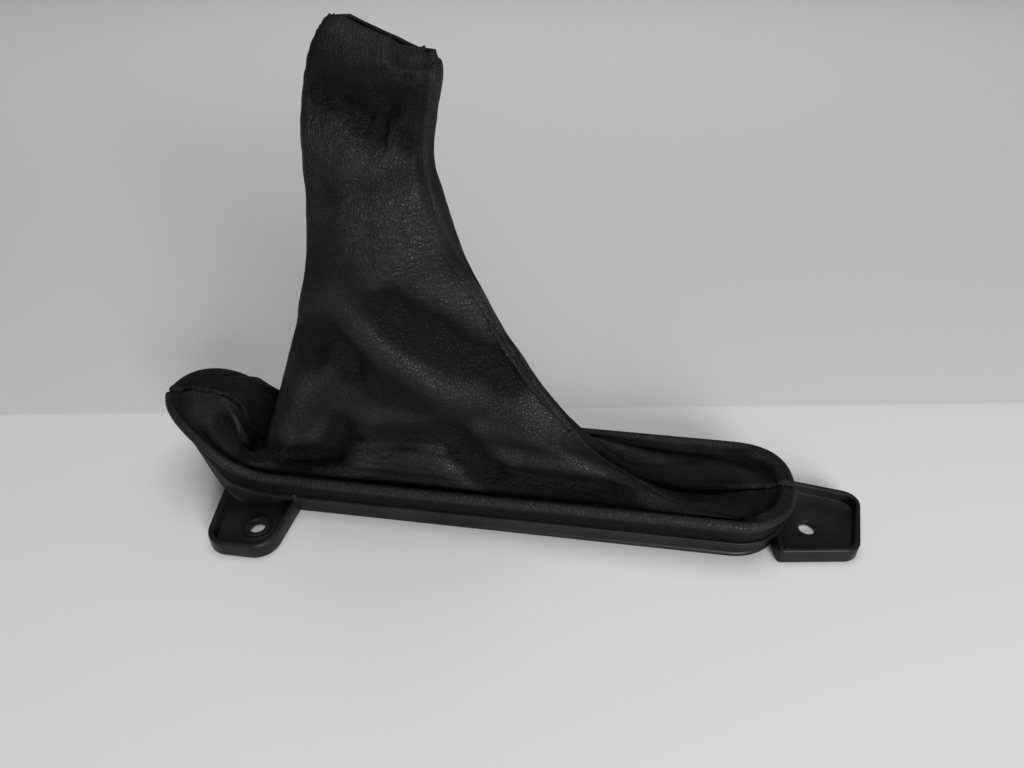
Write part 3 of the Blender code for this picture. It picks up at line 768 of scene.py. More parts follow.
@dataclass(frozen=True)
class Tent:
    """Levels of the leather between the bead and the mouth of the sleeve."""

    rim: Rim
    groove_depth: float = 2.8
    groove_inset: float = 5.2
    notch_x: float = 32.0
    ridge_end: float = 44.0
    sleeve_x: float = 89.4
    sleeve_width: float = 40.0
    sleeve_depth: float = 18.0
    sleeve_base: float = 113.0
    height: float = 166.0
    top_drop: float = 8.0
    corner: float = 4.5
    seam_shift: float = 4.2
    overhang: float = 2.6
    ridge_radius: float = 4.0
    bulge: float = 4.2
    round_fade: float = 3.4
    far_start: float = 0.2
    far_growth: float = 2.6
    sail_shares: tuple[float, ...] = (0.12, 0.24, 0.45, 0.75)

    @property
    def groove_reach(self) -> float:
        """Reach of the groove inside the bead from the centre plane."""
        return self.rim.half_width - self.groove_inset

    def groove_share(self, station: Station) -> float:
        """How deep the leather dips inside the bead: 1 in full, 0 where it runs on level.

        Args:
            station: Where along the rim.

        Returns:
            The share of the groove's full depth.
        """
        turn = station.turn
        if station.zone is Zone.ROUND:
            return max(0.0, 1.0 - self.round_fade * turn)
        if station.side is Side.FAR:
            if station.zone is Zone.NOSE:
                return self.far_start * turn
            return min(1.0, self.far_start + self.far_growth * turn)
        return math.sin(turn * math.pi / 2) if station.zone is Zone.NOSE else 1.0

    def low(self, side: Side) -> list[Section]:
        """Levels of one side from just inside the groove up to the notch behind the nose.

        Args:
            side: Which side.

        Returns:
            The levels, upwards.
        """
        groove = side.value * self.groove_reach
        floor, mound = self.rim.height - self.groove_depth, self.rim.height + self.rim.nose_rise
        end, notch, ridge = self.rim.length, self.notch_x, self.rim.length - self.ridge_end
        nose, around = self.rim.nose_length, self.rim.round_length
        nose_tip = (0.34 * nose, 0, mound + 1.7)
        nose_crest = (0.45 * nose, 0, mound + 1.6)
        pocket_ridge = (0.6 * nose, 0, mound + 0.8)
        notch_lip = (0.84 * nose, 0, mound - 1)
        notch_floor = (notch, 0, floor - 0.9)
        dish_edge = (end - 0.32 * around, 0, floor + 1.9)
        dish_side = (end - 0.5 * around, 0, floor + 0.5)
        dish_slope = (end - 0.98 * around, 0, floor - 1.4)
        dish_floor = (ridge + 10, 0, floor - 3.2)
        ridge_foot = (ridge - 6.5, 0.3, floor - 3.2)
        if side is Side.NEAR:
            return [
                Section(nose_tip, (notch - 1, 0.98 * groove, floor + 3.4),
                        (end - 23, 1.02 * groove, floor + 1), dish_edge, -0.5, -2.7, 3.6, 2.0),
                Section(nose_crest, (notch + 2, 0.94 * groove, floor + 4.4),
                        (end - 32, 0.88 * groove, floor + 1.2), dish_side, 0.9, 1.3, 2.8, 1.8),
                Section(pocket_ridge, (notch + 4.4, 0.85 * groove, floor + 7.6),
                        (end - 38.5, 0.77 * groove, floor + 1.8), dish_slope, 2.0, 6.0, 3.5, 2.6),
                Section(notch_lip, (notch + 5.2, 0.89 * groove, floor + 6.5),
                        (ridge, 0.75 * groove, floor + 2.7), dish_floor, 1.0, 12.0, 3.5, 2.2),
                Section(notch_floor, (notch + 6, 0.93 * groove, floor + 4.4),
                        (ridge - 12, 0.58 * groove, floor + 7.6), ridge_foot, 1.5, 16.6, 2.5, 2.0),
            ]
        return [
            Section(nose_tip, (notch - 3, 0.88 * groove, mound - 2.2),
                    (end - 23.5, 0.95 * groove, floor - 1.6), dish_edge, -0.2, fall=8.0),
            Section(nose_crest, (notch - 1, 0.76 * groove, mound - 1.7),
                    (end - 33, 0.68 * groove, floor + 1), dish_side, 2.0, 3.1, fall=8.0),
            Section(pocket_ridge, (notch + 1.5, 0.67 * groove, mound - 2.7),
                    (end - 42, 0.45 * groove, floor + 1.4), dish_slope, 4.0, 9.2, fall=8.0),
            Section(notch_lip, (notch + 5, 0.64 * groove, mound - 6.2),
                    (ridge - 11, 0.35 * groove, floor + 1), dish_floor, 4.6, 10.0, fall=2.0),
            Section(notch_floor, (notch + 10, 0.64 * groove, floor + 13.6),
                    (ridge - 22, 0.31 * groove, floor + 3.1), ridge_foot, 4.4, 14.0, crown=1.2),
        ]

    def sail(self, side: Side, share: float) -> Section:
        """Level of the steep part of the tent at a share of the way from the rim to the sleeve.

        Args:
            side: Which side.
            share: Share of the way up.

        Returns:
            The level. The near side ends in a ridge, and the seam runs in the hollow behind it.
        """
        back = 1.0 - share
        half = side.value * self.sleeve_depth / 2
        groove = side.value * self.groove_reach
        base_left, base_right = self.sleeve_x - self.sleeve_width / 2, self.sleeve_x + self.sleeve_width / 2
        height = self.rim.height + (self.sleeve_base - self.rim.height) * share
        foot_left, foot_right = self.notch_x + self.corner, self.rim.length - self.ridge_end
        left = foot_left + (base_left - foot_left) * (1 - back ** 1.2)
        ridge = foot_right + (base_right - self.corner - foot_right) * share ** 0.52
        radius = self.ridge_radius
        if side is Side.NEAR:
            left_y = half + 0.8 * (groove - half) * back ** 2
            right_corner = (ridge, side.value * radius * (1 + back ** 6), height)
        else:
            left_y = 0.87 * half + 0.4 * half * back ** 2
            right_corner = (ridge - 2 * radius * back ** 0.6, 0.3 * groove, height)
        return Section((left, 0, height), (left + self.corner, left_y, height + 0.5 * self.corner),
                       right_corner,
                       (ridge + radius * (0.5 + back ** 3), 0.2 * radius, height - 4 * radius * back ** 2),
                       self.bulge, 4.3 * self.bulge * back ** 1.3,
                       turn_in=2.6 if side is Side.NEAR else 1.0)

    def tube(self, side: Side, share: float, left_in: float, right_in: float, depth: float,
             tilt: float) -> Section:
        """Level of the sleeve at a share of the way from its base to its mouth.

        Args:
            side: Which side.
            share: Share of the way up the sleeve.
            left_in: How far the left edge is moved to the right.
            right_in: How far the right edge is moved to the right.
            depth: Share of the sleeve's full depth.
            tilt: Share of the mouth's drop towards its right end.

        Returns:
            The level.
        """
        half = side.value * self.sleeve_depth / 2
        height = self.sleeve_base + (self.height - self.sleeve_base) * share
        left = self.sleeve_x - self.sleeve_width / 2 + left_in
        right = self.sleeve_x + self.sleeve_width / 2 + right_in
        low = height - tilt * self.top_drop
        return Section((left, 0, height), (left + self.corner, depth * half, height),
                       (right - self.corner, 0.95 * depth * half, low),
                       (right - 0.4 * self.corner, -self.seam_shift * depth, low),
                       1.2 if side is Side.NEAR else 0.0,
                       hang=self.overhang if side is Side.FAR else 0.0)

    def levels(self, side: Side) -> list[Section]:
        """All levels of one side, upwards.

        Args:
            side: Which side.

        Returns:
            The levels, upwards.
        """
        sail = [self.sail(side, share) for share in self.sail_shares]
        far = side is Side.FAR
        tubes = (
            (0.0, -1.2, 0.0, 1.0, 0.0),
            (0.27, -0.2, -3.0, 1.0, 0.0),
            (0.49, 1.0, -2.0, 0.9, 0.0),
            (0.68, 3.2, 0.0, 0.98, 0.1),
            (0.82, 6.0, 0.6, 1.04, 0.45),
            (0.92, 8.9, 0.4, 0.8 if far else 1.04, 0.85),
            (0.955, 10.3, 0.2, 0.6 if far else 0.92, 1.05),
            (0.987 if far else 1.0, 12.4, -0.7, 0.3, 0.92 if far else 0.84),
        )
        return self.low(side) + sail + [self.tube(side, *tube) for tube in tubes]


@dataclass(frozen=True)
class Fold:
    """A valley or ridge along a drawn line. Depth is inward, and a bank rises on both sides of it."""

    path: tuple[Point2, ...]
    width: float
    depth: float
    bank: float = 0.0
    sharp: float = 2.0
    ends: float = 0.25
    seen: Seen = Seen.FROM_SIDE
    end_depth: float = 0.25
    bank_place: float = 1.9
    bank_width: float = 0.8

    def inward(self, surface: np.ndarray) -> np.ndarray:
        """How far each point of the surface is pressed in.

        Args:
            surface: The points, in rows and columns.

        Returns:
            One depth for each point.
        """
        away, share = near_path(surface[..., list(self.seen.value)], self.path)
        taper = smooth_step(np.minimum(share, 1 - share) / self.ends + self.end_depth)
        valley = np.exp(-(away / self.width) ** self.sharp)
        banks = np.exp(-((away - self.bank_place * self.width) / (self.bank_width * self.width)) ** 2)
        return self.depth * taper * (valley - self.bank * banks)


@dataclass(frozen=True)
class PaintedLightZone:
    """A stretch of the leather whose colour is lightened as painted highlight by a positive gain and
    darkened as painted shade by a negative one.
    """

    path: tuple[Point3, ...]
    width: float
    gain: float

    def shine(self, surface: np.ndarray) -> np.ndarray:
        """The painted light the zone adds at each point of the surface: highlight for a positive gain,
        shade for a negative one.
        """
        return self.gain * np.exp(-(near_path(surface, self.path)[0] / self.width) ** 2)


@dataclass(frozen=True)
class Seam:
    """The groove along a turned seam, between soft shoulders and slightly puckered."""

    columns: int = 16
    depth: float = 0.75
    width: float = 0.8
    shoulder_height: float = 0.3
    shoulder_place: float = 1.9
    shoulder_width: float = 1.0
    pucker: float = 0.14
    pucker_width: float = 2.5
    pucker_turn: float = 0.9
    half_gap: float = 0.12

    def sink(self, away: np.ndarray) -> np.ndarray:
        """How deep the leather sinks at each distance from the seam, in rows up the seam.

        Args:
            away: Distances from the seam, in rows up the seam.

        Returns:
            The depths.
        """
        wave = self.pucker * np.sin(np.arange(away.shape[0]) * self.pucker_turn)[:, None]
        shoulder = np.exp(-((away - self.shoulder_place) / self.shoulder_width) ** 2)
        return (self.depth * np.exp(-(away / self.width) ** 2) - self.shoulder_height * shoulder
                + wave * np.exp(-(away / self.pucker_width) ** 2))


@dataclass
class GaiterShape:
    """Outer face of the gaiter: wrapped rim, groove, tent and sleeve, with its folds."""

    rim: Rim
    tent: Tent
    nose_steps: int = 40
    straight_steps: int = 132
    round_steps: int = 34
    rows_per_section: int = 11
    arc_steps: int = 12
    hem_rows: int = 4
    lip_rows: int = 4
    folds: dict[Side, list[Fold]] = field(default_factory=dict)
    zones: tuple[PaintedLightZone, ...] = ()
    seam: Seam = Seam()
    facing_gain: float = 1.6
    facing_share: float = 0.25
    plain_crumple: float = 0.12
    fold_crumple: float = 0.1
    smoothing_passes: int = 2
    wrinkle_height: float = 0.2
    wrinkle_scales: tuple[Point3, Point3] = ((0.11, 0.16, 0.15), (0.3, 0.4, 0.42))
    level_passes: int = 70
    even_wear_and_light: float = 0.35
    wear_and_light_relief: float = 1.6

    def skin_profile(self, station: Station) -> list[Point2]:
        """Reach and height of the leather from its hem on the ledge over the bead.

        Args:
            station: Where along the rim.

        Returns:
            Reach and height of each point.
        """
        rim, groove = self.rim, self.tent.groove_share(station)
        skin = rim.wall_reach + rim.clearance + rim.leather
        low, high = rim.ledge_height + rim.ledge_fall + rim.clearance, rim.bead_height - rim.bead_zone
        hem = [(skin, low + (high - low) * i / (self.hem_rows - 1)) for i in range(self.hem_rows)]
        arc = rim.bead_arc(rim.bead_radius + rim.clearance + rim.leather, 100.0 + 80.0 * groove,
                           self.arc_steps)
        return hem + arc + [(self.tent.groove_reach, rim.height - self.tent.groove_depth * groove)]

    def stations(self, side: Side) -> list[Station]:
        """Stations of one side at this shape's fineness."""
        return self.rim.run(side, self.nose_steps, self.straight_steps, self.round_steps)

    def bare(self, side: Side) -> np.ndarray:
        """The face of one side before it is folded, as rows of points.

        Args:
            side: Which side.

        Returns:
            The points, in rows from the hem to the mouth.
        """
        stations = self.stations(side)
        columns = [self.rim.wall_points(station, self.skin_profile(station)) for station in stations]
        skin = np.transpose(np.array(columns), (1, 0, 2))
        keys = [skin[-2], skin[-1]]
        for section in self.tent.levels(side):
            keys.append(np.array([section.point(station) for station in stations]))
        steps = [(0, k / self.lip_rows) for k in range(self.lip_rows)]
        steps += [(index, k / self.rows_per_section) for index in range(1, len(keys) - 1)
                  for k in range(self.rows_per_section)]
        steps.append((len(keys) - 2, 1.0))
        return np.concatenate([skin[:-2], through(np.array(keys), steps)])

    @staticmethod
    def normals(surface: np.ndarray, side: Side) -> np.ndarray:
        """Outward unit normals of a surface of rows and columns.

        Args:
            surface: The face's points, in rows and columns.
            side: Which side.

        Returns:
            One normal for each point.
        """
        across = np.gradient(surface, axis=1)
        up = np.gradient(surface, axis=0)
        normals = np.cross(across, up) * -side.value
        size = np.linalg.norm(normals, axis=2, keepdims=True)
        return normals / np.maximum(size, 1e-9)

    def tent_share(self, surface: np.ndarray) -> np.ndarray:
        """How free each row of the leather is of the frame: 0 on the rim, 1 on the tent.

        Args:
            surface: The face's points, in rows and columns.

        Returns:
            One share for each row.
        """
        wrapped = self.hem_rows + self.arc_steps + self.lip_rows - 1
        rows = np.arange(surface.shape[0]) - wrapped
        return smooth_step(rows / self.rows_per_section)[:, None]

    def folded(self, side: Side) -> tuple[np.ndarray, np.ndarray]:
        """The face of one side with its folds and small wrinkles.

        Args:
            side: Which side.

        Returns:
            The points in rows, and how crumpled the leather is at each point.
        """
        surface = self.bare(side)
        free = self.tent_share(surface)
        crumple = np.full(surface.shape[:2], self.plain_crumple)
        facing = self.normals(surface, side)[..., 1] * side.value * self.facing_gain
        facing = np.clip(facing + self.facing_share, 0.0, 1.0)
        for fold in self.folds[side]:
            depth = fold.inward(surface) * free
            if fold.seen is Seen.FROM_SIDE:
                depth = depth * facing
            surface = surface - self.normals(surface, side) * depth[..., None]
            crumple += np.abs(depth) * self.fold_crumple
        for _ in range(self.smoothing_passes):
            blurred = (np.roll(surface, 1, 0) + np.roll(surface, -1, 0)
                       + np.roll(surface, 1, 1) + np.roll(surface, -1, 1)) / 4
            inner = np.zeros(surface.shape[:2])
            inner[1:-1, 1:-1] = 0.5
            surface = surface + (blurred - surface) * (inner * free)[..., None]
        coarse, fine = np.array(self.wrinkle_scales)
        wrinkle = np.array([[noise.noise(Vector(p * coarse)) + 0.5 * noise.noise(Vector(p * fine))
                             for p in row] for row in surface])
        surface = surface + self.normals(surface, side) * (self.wrinkle_height * wrinkle * free)[..., None]
        return self.seamed(surface, side), np.clip(crumple, 0.0, 1.0)

    def wear_and_painted_light(self, surface: np.ndarray, side: Side) -> np.ndarray:
        """Wear and painted light at each point: painted shade toward 0 in a valley, wear and painted
        highlight toward 1 on a ridge, plus the painted zones.

        Args:
            surface: The face's points, in rows and columns.
            side: Which side.

        Returns:
            One value for each point.
        """
        even = surface
        for _ in range(self.level_passes):
            padded = np.pad(even, ((1, 1), (1, 1), (0, 0)), mode="edge")
            even = (padded[2:, 1:-1] + padded[:-2, 1:-1] + padded[1:-1, 2:] + padded[1:-1, :-2]) / 4
        # Points lower than their smoothed surroundings get painted shade, points higher get wear with
        # painted highlight.
        height = ((surface - even) * self.normals(surface, side)).sum(axis=2)
        shine = self.even_wear_and_light + height / self.wear_and_light_relief
        for zone in self.zones:
            shine += zone.shine(surface)
        return np.clip(shine, 0.0, 1.0)

    def seamed(self, surface: np.ndarray, side: Side) -> np.ndarray:
        """Roll the leather into a fine groove along both end seams and part the two panels there.

        Args:
            surface: The face's points, in rows and columns.
            side: Which side.

        Returns:
            The points with both seams rolled in.
        """
        shaped = surface.copy()
        normals = self.normals(surface, side)
        for edge, step in ((0, 1), (-1, -1)):
            columns = [edge + step * k for k in range(self.seam.columns)]
            strip = surface[:, columns]
            away = np.linalg.norm(np.diff(strip, axis=1, prepend=strip[:, :1]), axis=2).cumsum(axis=1)
            shaped[:, columns] -= normals[:, columns] * self.seam.sink(away)[..., None]
            shaped[:, edge, 1] = surface[:, edge, 1] + side.value * self.seam.half_gap
        return shaped


@dataclass
class Gaiter:
    """The two sewn leatherette panels."""

    shape: GaiterShape
    finish: bpy.types.Material
    thickness: float = 0.8

    def panel(self, side: Side) -> bpy.types.Object:
        """Make one panel as a closed skin.

        Args:
            side: Which side.

        Returns:
            The panel's object.
        """
        outer, crumple = self.shape.folded(side)
        inner = outer - self.shape.normals(outer, side) * self.thickness
        rows, width = outer.shape[:2]
        shell = np.concatenate([outer, inner[:, ::-1]], axis=1)
        faces = grid_faces(rows, 2 * width, False, True)
        last = (rows - 1) * 2 * width
        for j in range(width - 1):
            opposite = 2 * width - 1 - j
            faces.append((j, opposite, opposite - 1, j + 1))
            faces.append((last + j, last + j + 1, last + opposite - 1, last + opposite))
        name = "near_panel" if side is Side.NEAR else "far_panel"
        mesh = DRAWING.mesh(name, shell.reshape(-1, 3), faces)
        # The second attribute carries wear with painted highlight and painted shade into the leather's
        # colour.
        for key, values in (("crumple", crumple), ("wear_and_painted_light", self.shape.wear_and_painted_light(outer, side))):
            attribute = mesh.attributes.new(key, "FLOAT", "POINT")
            attribute.data.foreach_set("value", np.concatenate([values, values[:, ::-1]], axis=1).ravel())
        return add_piece(name, mesh, self.finish)


@dataclass
class FrameRing:
    """The frame's swept wall with its bead, ledge and foot."""

    rim: Rim
    foot_width: float = 0.4
    foot_height: float = 1.2
    edge_radius: float = 0.3
    arc_steps: int = 10
    core_steps: tuple[int, int, int] = (24, 24, 24)
    wall_steps: tuple[int, int, int] = (36, 84, 30)
    fade_rate: float = 1.6
    flare_slope: float = 0.65

    def profile(self, fade: float) -> list[Point2]:
        """Section of the wall, up the outside and down the inside.

        Args:
            fade: How far the ledge and the foot have faded into the plain wall.

        Returns:
            Reach and height of each point, with every corner rounded.
        """
        rim = self.rim
        plain, inner = rim.wall_reach, rim.wall_reach - rim.wall
        foot, ledge = plain + self.foot_width * (1 - fade), plain + rim.ledge_width * (1 - fade)
        ledge_low, flare_low = rim.ledge_height - rim.ledge_thickness, rim.bead_height - rim.flare
        outside = [
            (foot, 0.0),
            (foot, self.foot_height),
            (plain, self.foot_height + self.foot_width),
            (plain, ledge_low - self.foot_width),
            (ledge, ledge_low),
            (ledge, rim.ledge_height),
            (plain, rim.ledge_height + rim.ledge_fall),
            (plain, flare_low),
        ]
        bead = rim.bead_arc(rim.bead_radius, 180.0, self.arc_steps)
        inside = [(inner, flare_low - self.flare_slope * rim.wall), (inner, rim.ledge_height), (inner, 0.0)]
        return self.softened(outside + bead + inside)

    def loop(self, steps: tuple[int, int, int]) -> list[Station]:
        """Stations once round the rim, from the nose tip along the near side and back."""
        near, far = (self.rim.run(side, *steps) for side in (Side.NEAR, Side.FAR))
        return near + far[-2:0:-1]

    def core(self) -> np.ndarray:
        """Outline of the open space that no tray may fill, a little into the wall."""
        reach = self.rim.wall_reach - self.rim.wall / 2
        return np.array([self.rim.plan(station, reach) for station in self.loop(self.core_steps)])

    def softened(self, corners: list[Point2]) -> list[Point2]:
        """Round each corner of a closed section with a few points.

        Args:
            corners: Reach and height of each corner.

        Returns:
            The rounded section.
        """
        soft = []
        count = len(corners)
        for i, corner in enumerate(corners):
            here = np.array(corner)
            before, after = np.array(corners[i - 1]) - here, np.array(corners[(i + 1) % count]) - here
            sizes = [np.linalg.norm(before), np.linalg.norm(after)]
            if min(sizes) < TINY:
                soft += [corner] * 4
                continue
            cut = min(self.edge_radius, 0.45 * sizes[0], 0.45 * sizes[1])
            a, b = here + before / sizes[0] * cut, here + after / sizes[1] * cut
            for t in (0.0, 0.33, 0.67, 1.0):
                point = (1 - t) ** 2 * a + 2 * t * (1 - t) * here + t * t * b
                soft.append((float(point[0]), float(point[1])))
        return soft

    def grid(self) -> Grid:
        """Points and faces of the ring.

        Returns:
            Points in millimetres, and the corner indices of each face.
        """
        loop = self.loop(self.wall_steps)
        sweep_top = self.rim.height + self.rim.nose_rise - self.rim.nose_wall
        points = []
        for station in loop:
            foot = self.rim.foot(self.rim.plan(station, self.rim.half_width)[0])
            fade = min(1.0, self.fade_rate * foot / sweep_top)
            points += self.rim.wall_points(station, self.profile(fade))
        width = len(points) // len(loop)
        return np.array(points), grid_faces(len(loop), width, True, True)


@dataclass
class ScrewTray:
    """A screw tab: a shallow tray with a raised lip, a hole and rounded corners."""

    corners: tuple[Point3, ...]
    hole: Point2
    core: np.ndarray
    boss_rise: float = 0.0
    lip: float = 1.9
    lip_height: float = 6.0
    floor: float = 2.0
    hole_diameter: float = 5.8
    boss_diameter: float = 10.0
    count: int = 168

    @staticmethod
    def crossings(polygon: np.ndarray, start: np.ndarray, direction: np.ndarray) -> np.ndarray:
        """Distances at which a ray crosses the edges of a polygon.

        Args:
            polygon: The polygon's corners.
            start: Where the ray starts.
            direction: Which way it runs.

        Returns:
            The distances, unsorted.
        """
        edges = np.roll(polygon, -1, axis=0) - polygon
        gaps = polygon - start
        cross = direction[0] * edges[:, 1] - direction[1] * edges[:, 0]
        cross = np.where(np.abs(cross) < 1e-12, 1e-12, cross)
        reach = (gaps[:, 0] * edges[:, 1] - gaps[:, 1] * edges[:, 0]) / cross
        share = (gaps[:, 0] * direction[1] - gaps[:, 1] * direction[0]) / cross
        return reach[(share >= -1e-9) & (share <= 1 + 1e-9) & (reach > 0)]

    def outline(self, inset: float) -> np.ndarray:
        """Outline of the tray, inset from its outer edge and cut off at the frame's wall.

        Args:
            inset: How far inside the outer edge.

        Returns:
            One point for each direction round the hole.
        """
        centre = np.mean([corner[:2] for corner in self.corners], axis=0)
        moved = []
        for x, y, radius in self.corners:
            along_y = inset if radius > 0 else inset * 0.5
            moved.append((x + math.copysign(inset, centre[0] - x),
                          y + math.copysign(along_y, centre[1] - y), max(0.0, radius - inset)))
        polygon = np.array(self.rounded(moved))
        hole = np.array(self.hole)
        rays = []
        for i in range(self.count):
            angle = 2 * math.pi * i / self.count
            direction = np.array([math.cos(angle), math.sin(angle)])
            reach = self.crossings(polygon, hole, direction).max()
            wall = self.crossings(self.core, hole, direction)
            rays.append(hole + direction * min(reach, wall.min() if len(wall) else reach))
        return np.array(rays)

    @staticmethod
    def rounded(corners: Sequence[Point3], steps: int = 10) -> list[Point2]:
        """Plan outline with a radius at each corner.

        Args:
            corners: Place and radius of each corner.
            steps: Steps round each corner.

        Returns:
            The outline's points.
        """
        outline = []
        for i, (x, y, radius) in enumerate(corners):
            corner = np.array([x, y])
            if radius <= 0.0:
                outline.append((x, y))
                continue
            before = np.array(corners[i - 1][:2]) - corner
            after = np.array(corners[(i + 1) % len(corners)][:2]) - corner
            before /= np.linalg.norm(before)
            after /= np.linalg.norm(after)
            half = math.acos(float(np.clip(before @ after, -1.0, 1.0))) / 2
            middle = (before + after) / np.linalg.norm(before + after)
            centre = corner + middle * radius / math.sin(half)
            start, end = (corner + way * radius / math.tan(half) for way in (before, after))
            first = math.atan2(*(start - centre)[::-1])
            turn = math.atan2(*(end - centre)[::-1]) - first
            turn = (turn + math.pi) % (2 * math.pi) - math.pi
            for k in range(steps + 1):
                angle = first + turn * k / steps
                outline.append((float(centre[0] + radius * math.cos(angle)),
                                float(centre[1] + radius * math.sin(angle))))
        return outline

    def circle(self, radius: float) -> np.ndarray:
        """Circle round the hole, one point for each direction."""
        angles = 2 * math.pi * np.arange(self.count) / self.count
        return np.array(self.hole) + radius * np.stack([np.cos(angles), np.sin(angles)], axis=1)

    @staticmethod
    def pin(centre: Point2, radius: float, low: float, high: float, around: int = 20) -> Grid:
        """Points and faces of a small round pin with a domed top.

        Args:
            centre: Its place in plan.
            radius: Its radius.
            low: Height of its lower end.
            high: Height of its top.
            around: Points round it.

        Returns:
            The points and the faces.
        """
        levels = [(radius, low), (radius, high - 0.5 * radius), (0.75 * radius, high - 0.12 * radius),
                  (0.3 * radius, high)]
        angles = np.arange(around) * math.tau / around
        points = [(centre[0] + reach * math.cos(a), centre[1] + reach * math.sin(a), z)
                  for reach, z in levels for a in angles]
        faces = grid_faces(len(levels), around, False, True)
        last = (len(levels) - 1) * around
        faces += [tuple(range(around - 1, -1, -1)), tuple(range(last, last + around))]
        return np.array(points), faces

    def grid(self) -> Grid:
        """Points and faces of the tray.

        Returns:
            Points in millimetres, and the corner indices of each face.
        """
        top, boss, hole = self.lip_height, self.boss_diameter / 2, self.hole_diameter / 2
        loops = [(self.outline(inset), z) for inset, z in (
            (0.5, 0.0), (0.15, 0.12), (0.0, 0.5), (0.0, top - 0.6), (0.15, top - 0.15), (0.55, top),
            (self.lip - 0.55, top), (self.lip - 0.15, top - 0.15), (self.lip, top - 0.6),
            (self.lip + 0.1, self.floor + 0.7), (self.lip + 0.3, self.floor + 0.2),
            (self.lip + 0.8, self.floor))]
        edge = loops[-1][0]
        rise = self.floor + self.boss_rise
        ring = self.circle(boss + 0.4)
        loops += [(edge + (ring - edge) * share, self.floor) for share in (0.35, 0.7)]
        loops += [(self.circle(radius), z) for radius, z in (
            (boss + 0.4, self.floor), (boss + 0.05, self.floor + 0.2 * self.boss_rise),
            (boss - 0.15, rise - 0.2 * self.boss_rise), (boss - 0.45, rise), (boss - 1.2, rise),
            (hole + 0.3, rise), (hole + 0.05, rise - 0.12), (hole, rise - 0.4), (hole, 0.3),
            (hole + 0.3, 0.0))]
        points = [[(x, y, z) for x, y in loop] for loop, z in loops]
        return np.array(points).reshape(-1, 3), grid_faces(len(loops), self.count, True, True)


@dataclass
class BaseFrame:
    """The moulded frame: its ring and both screw trays in one piece."""

    ring: FrameRing
    trays: list[ScrewTray]
    pins: tuple[tuple[Point2, float, float, float], ...]
    finish: bpy.types.Material

    def piece(self) -> bpy.types.Object:
        """Make the frame as one mesh of closed bodies.

        Returns:
            The frame's object.
        """
        points, faces = self.ring.grid()
        all_points, all_faces = [points], list(faces)
        offset = len(points)
        parts = [tray.grid() for tray in self.trays] + [ScrewTray.pin(*pin) for pin in self.pins]
        for points, faces in parts:
            all_points.append(points)
            all_faces += [tuple(index + offset for index in face) for face in faces]
            offset += len(points)
        mesh = DRAWING.mesh("frame_moulding", np.concatenate(all_points), all_faces, merge=True)
        return add_piece("frame_moulding", mesh, self.finish)


@dataclass(frozen=True)
class Lamp:
    """A soft square lamp, with its size in metres and its power in watts."""

    name: str
    place: Point3
    aim: Point3
    size: float
    power: float

    def light(self) -> None:
        """Put the lamp in the scene."""
        light = bpy.data.lights.new(self.name, "AREA")
        light.size = self.size
        light.energy = self.power
        obj = bpy.data.objects.new(self.name, light)
        obj.location = self.place
        direction = Vector(self.aim) - Vector(self.place)
        obj.rotation_euler = direction.to_track_quat("-Z", "Y").to_euler()
        bpy.context.scene.collection.objects.link(obj)


@dataclass(frozen=True)
class Studio:
    """Floor, soft light and the camera at the photograph's angle."""

    line_y: float = 0.0617
    line_slope: float = 0.1592
    span: float = 3.0
    world_strength: float = 0.11
    lamps: tuple[Lamp, ...] = (
        Lamp("overhead", (0.05, 0.12, 1.6), (0.0, 0.0, 0.05), 1.3, 15.0),
        Lamp("front window", (0.55, -1.0, 0.33), (0.0, 0.0, 0.08), 0.55, 21.0),
    )
    camera: Point3 = (0.0295, -0.1928, 0.210)
    pitch: float = 37.5
    yaw: float = 8.0
    lens: float = 27.04
    sensor: float = 36.0
    nearest: float = 0.005

    def build(self) -> None:
        """Set up the floor, the world, the lamps and the camera."""
        scene = bpy.context.scene
        floor_mesh = bpy.data.meshes.new("floor")
        span = self.span
        floor_mesh.from_pydata([(-span, -span, 0), (span, -span, 0), (span, span, 0), (-span, span, 0)],
                               [], [(0, 1, 2, 3)])
        floor = add_piece("floor", floor_mesh, PaperFinish().material(self.line_y, self.line_slope))
        world = bpy.data.worlds.new("studio")
        world.use_nodes = True
        background = world.node_tree.nodes["Background"]
        background.inputs[0].default_value = (1.0, 1.0, 1.0, 1.0)
        background.inputs[1].default_value = self.world_strength
        scene.world = world
        for lamp in self.lamps:
            lamp.light()
        camera = bpy.data.cameras.new("photo view")
        camera.lens = self.lens
        camera.sensor_width = self.sensor
        camera.clip_start = self.nearest
        obj = bpy.data.objects.new("photo view", camera)
        obj.location = self.camera
        obj.rotation_euler = (math.radians(90.0 - self.pitch), 0.0, math.radians(self.yaw))
        scene.collection.objects.link(obj)
        scene.camera = obj
        scene.view_settings.view_transform = "Standard"


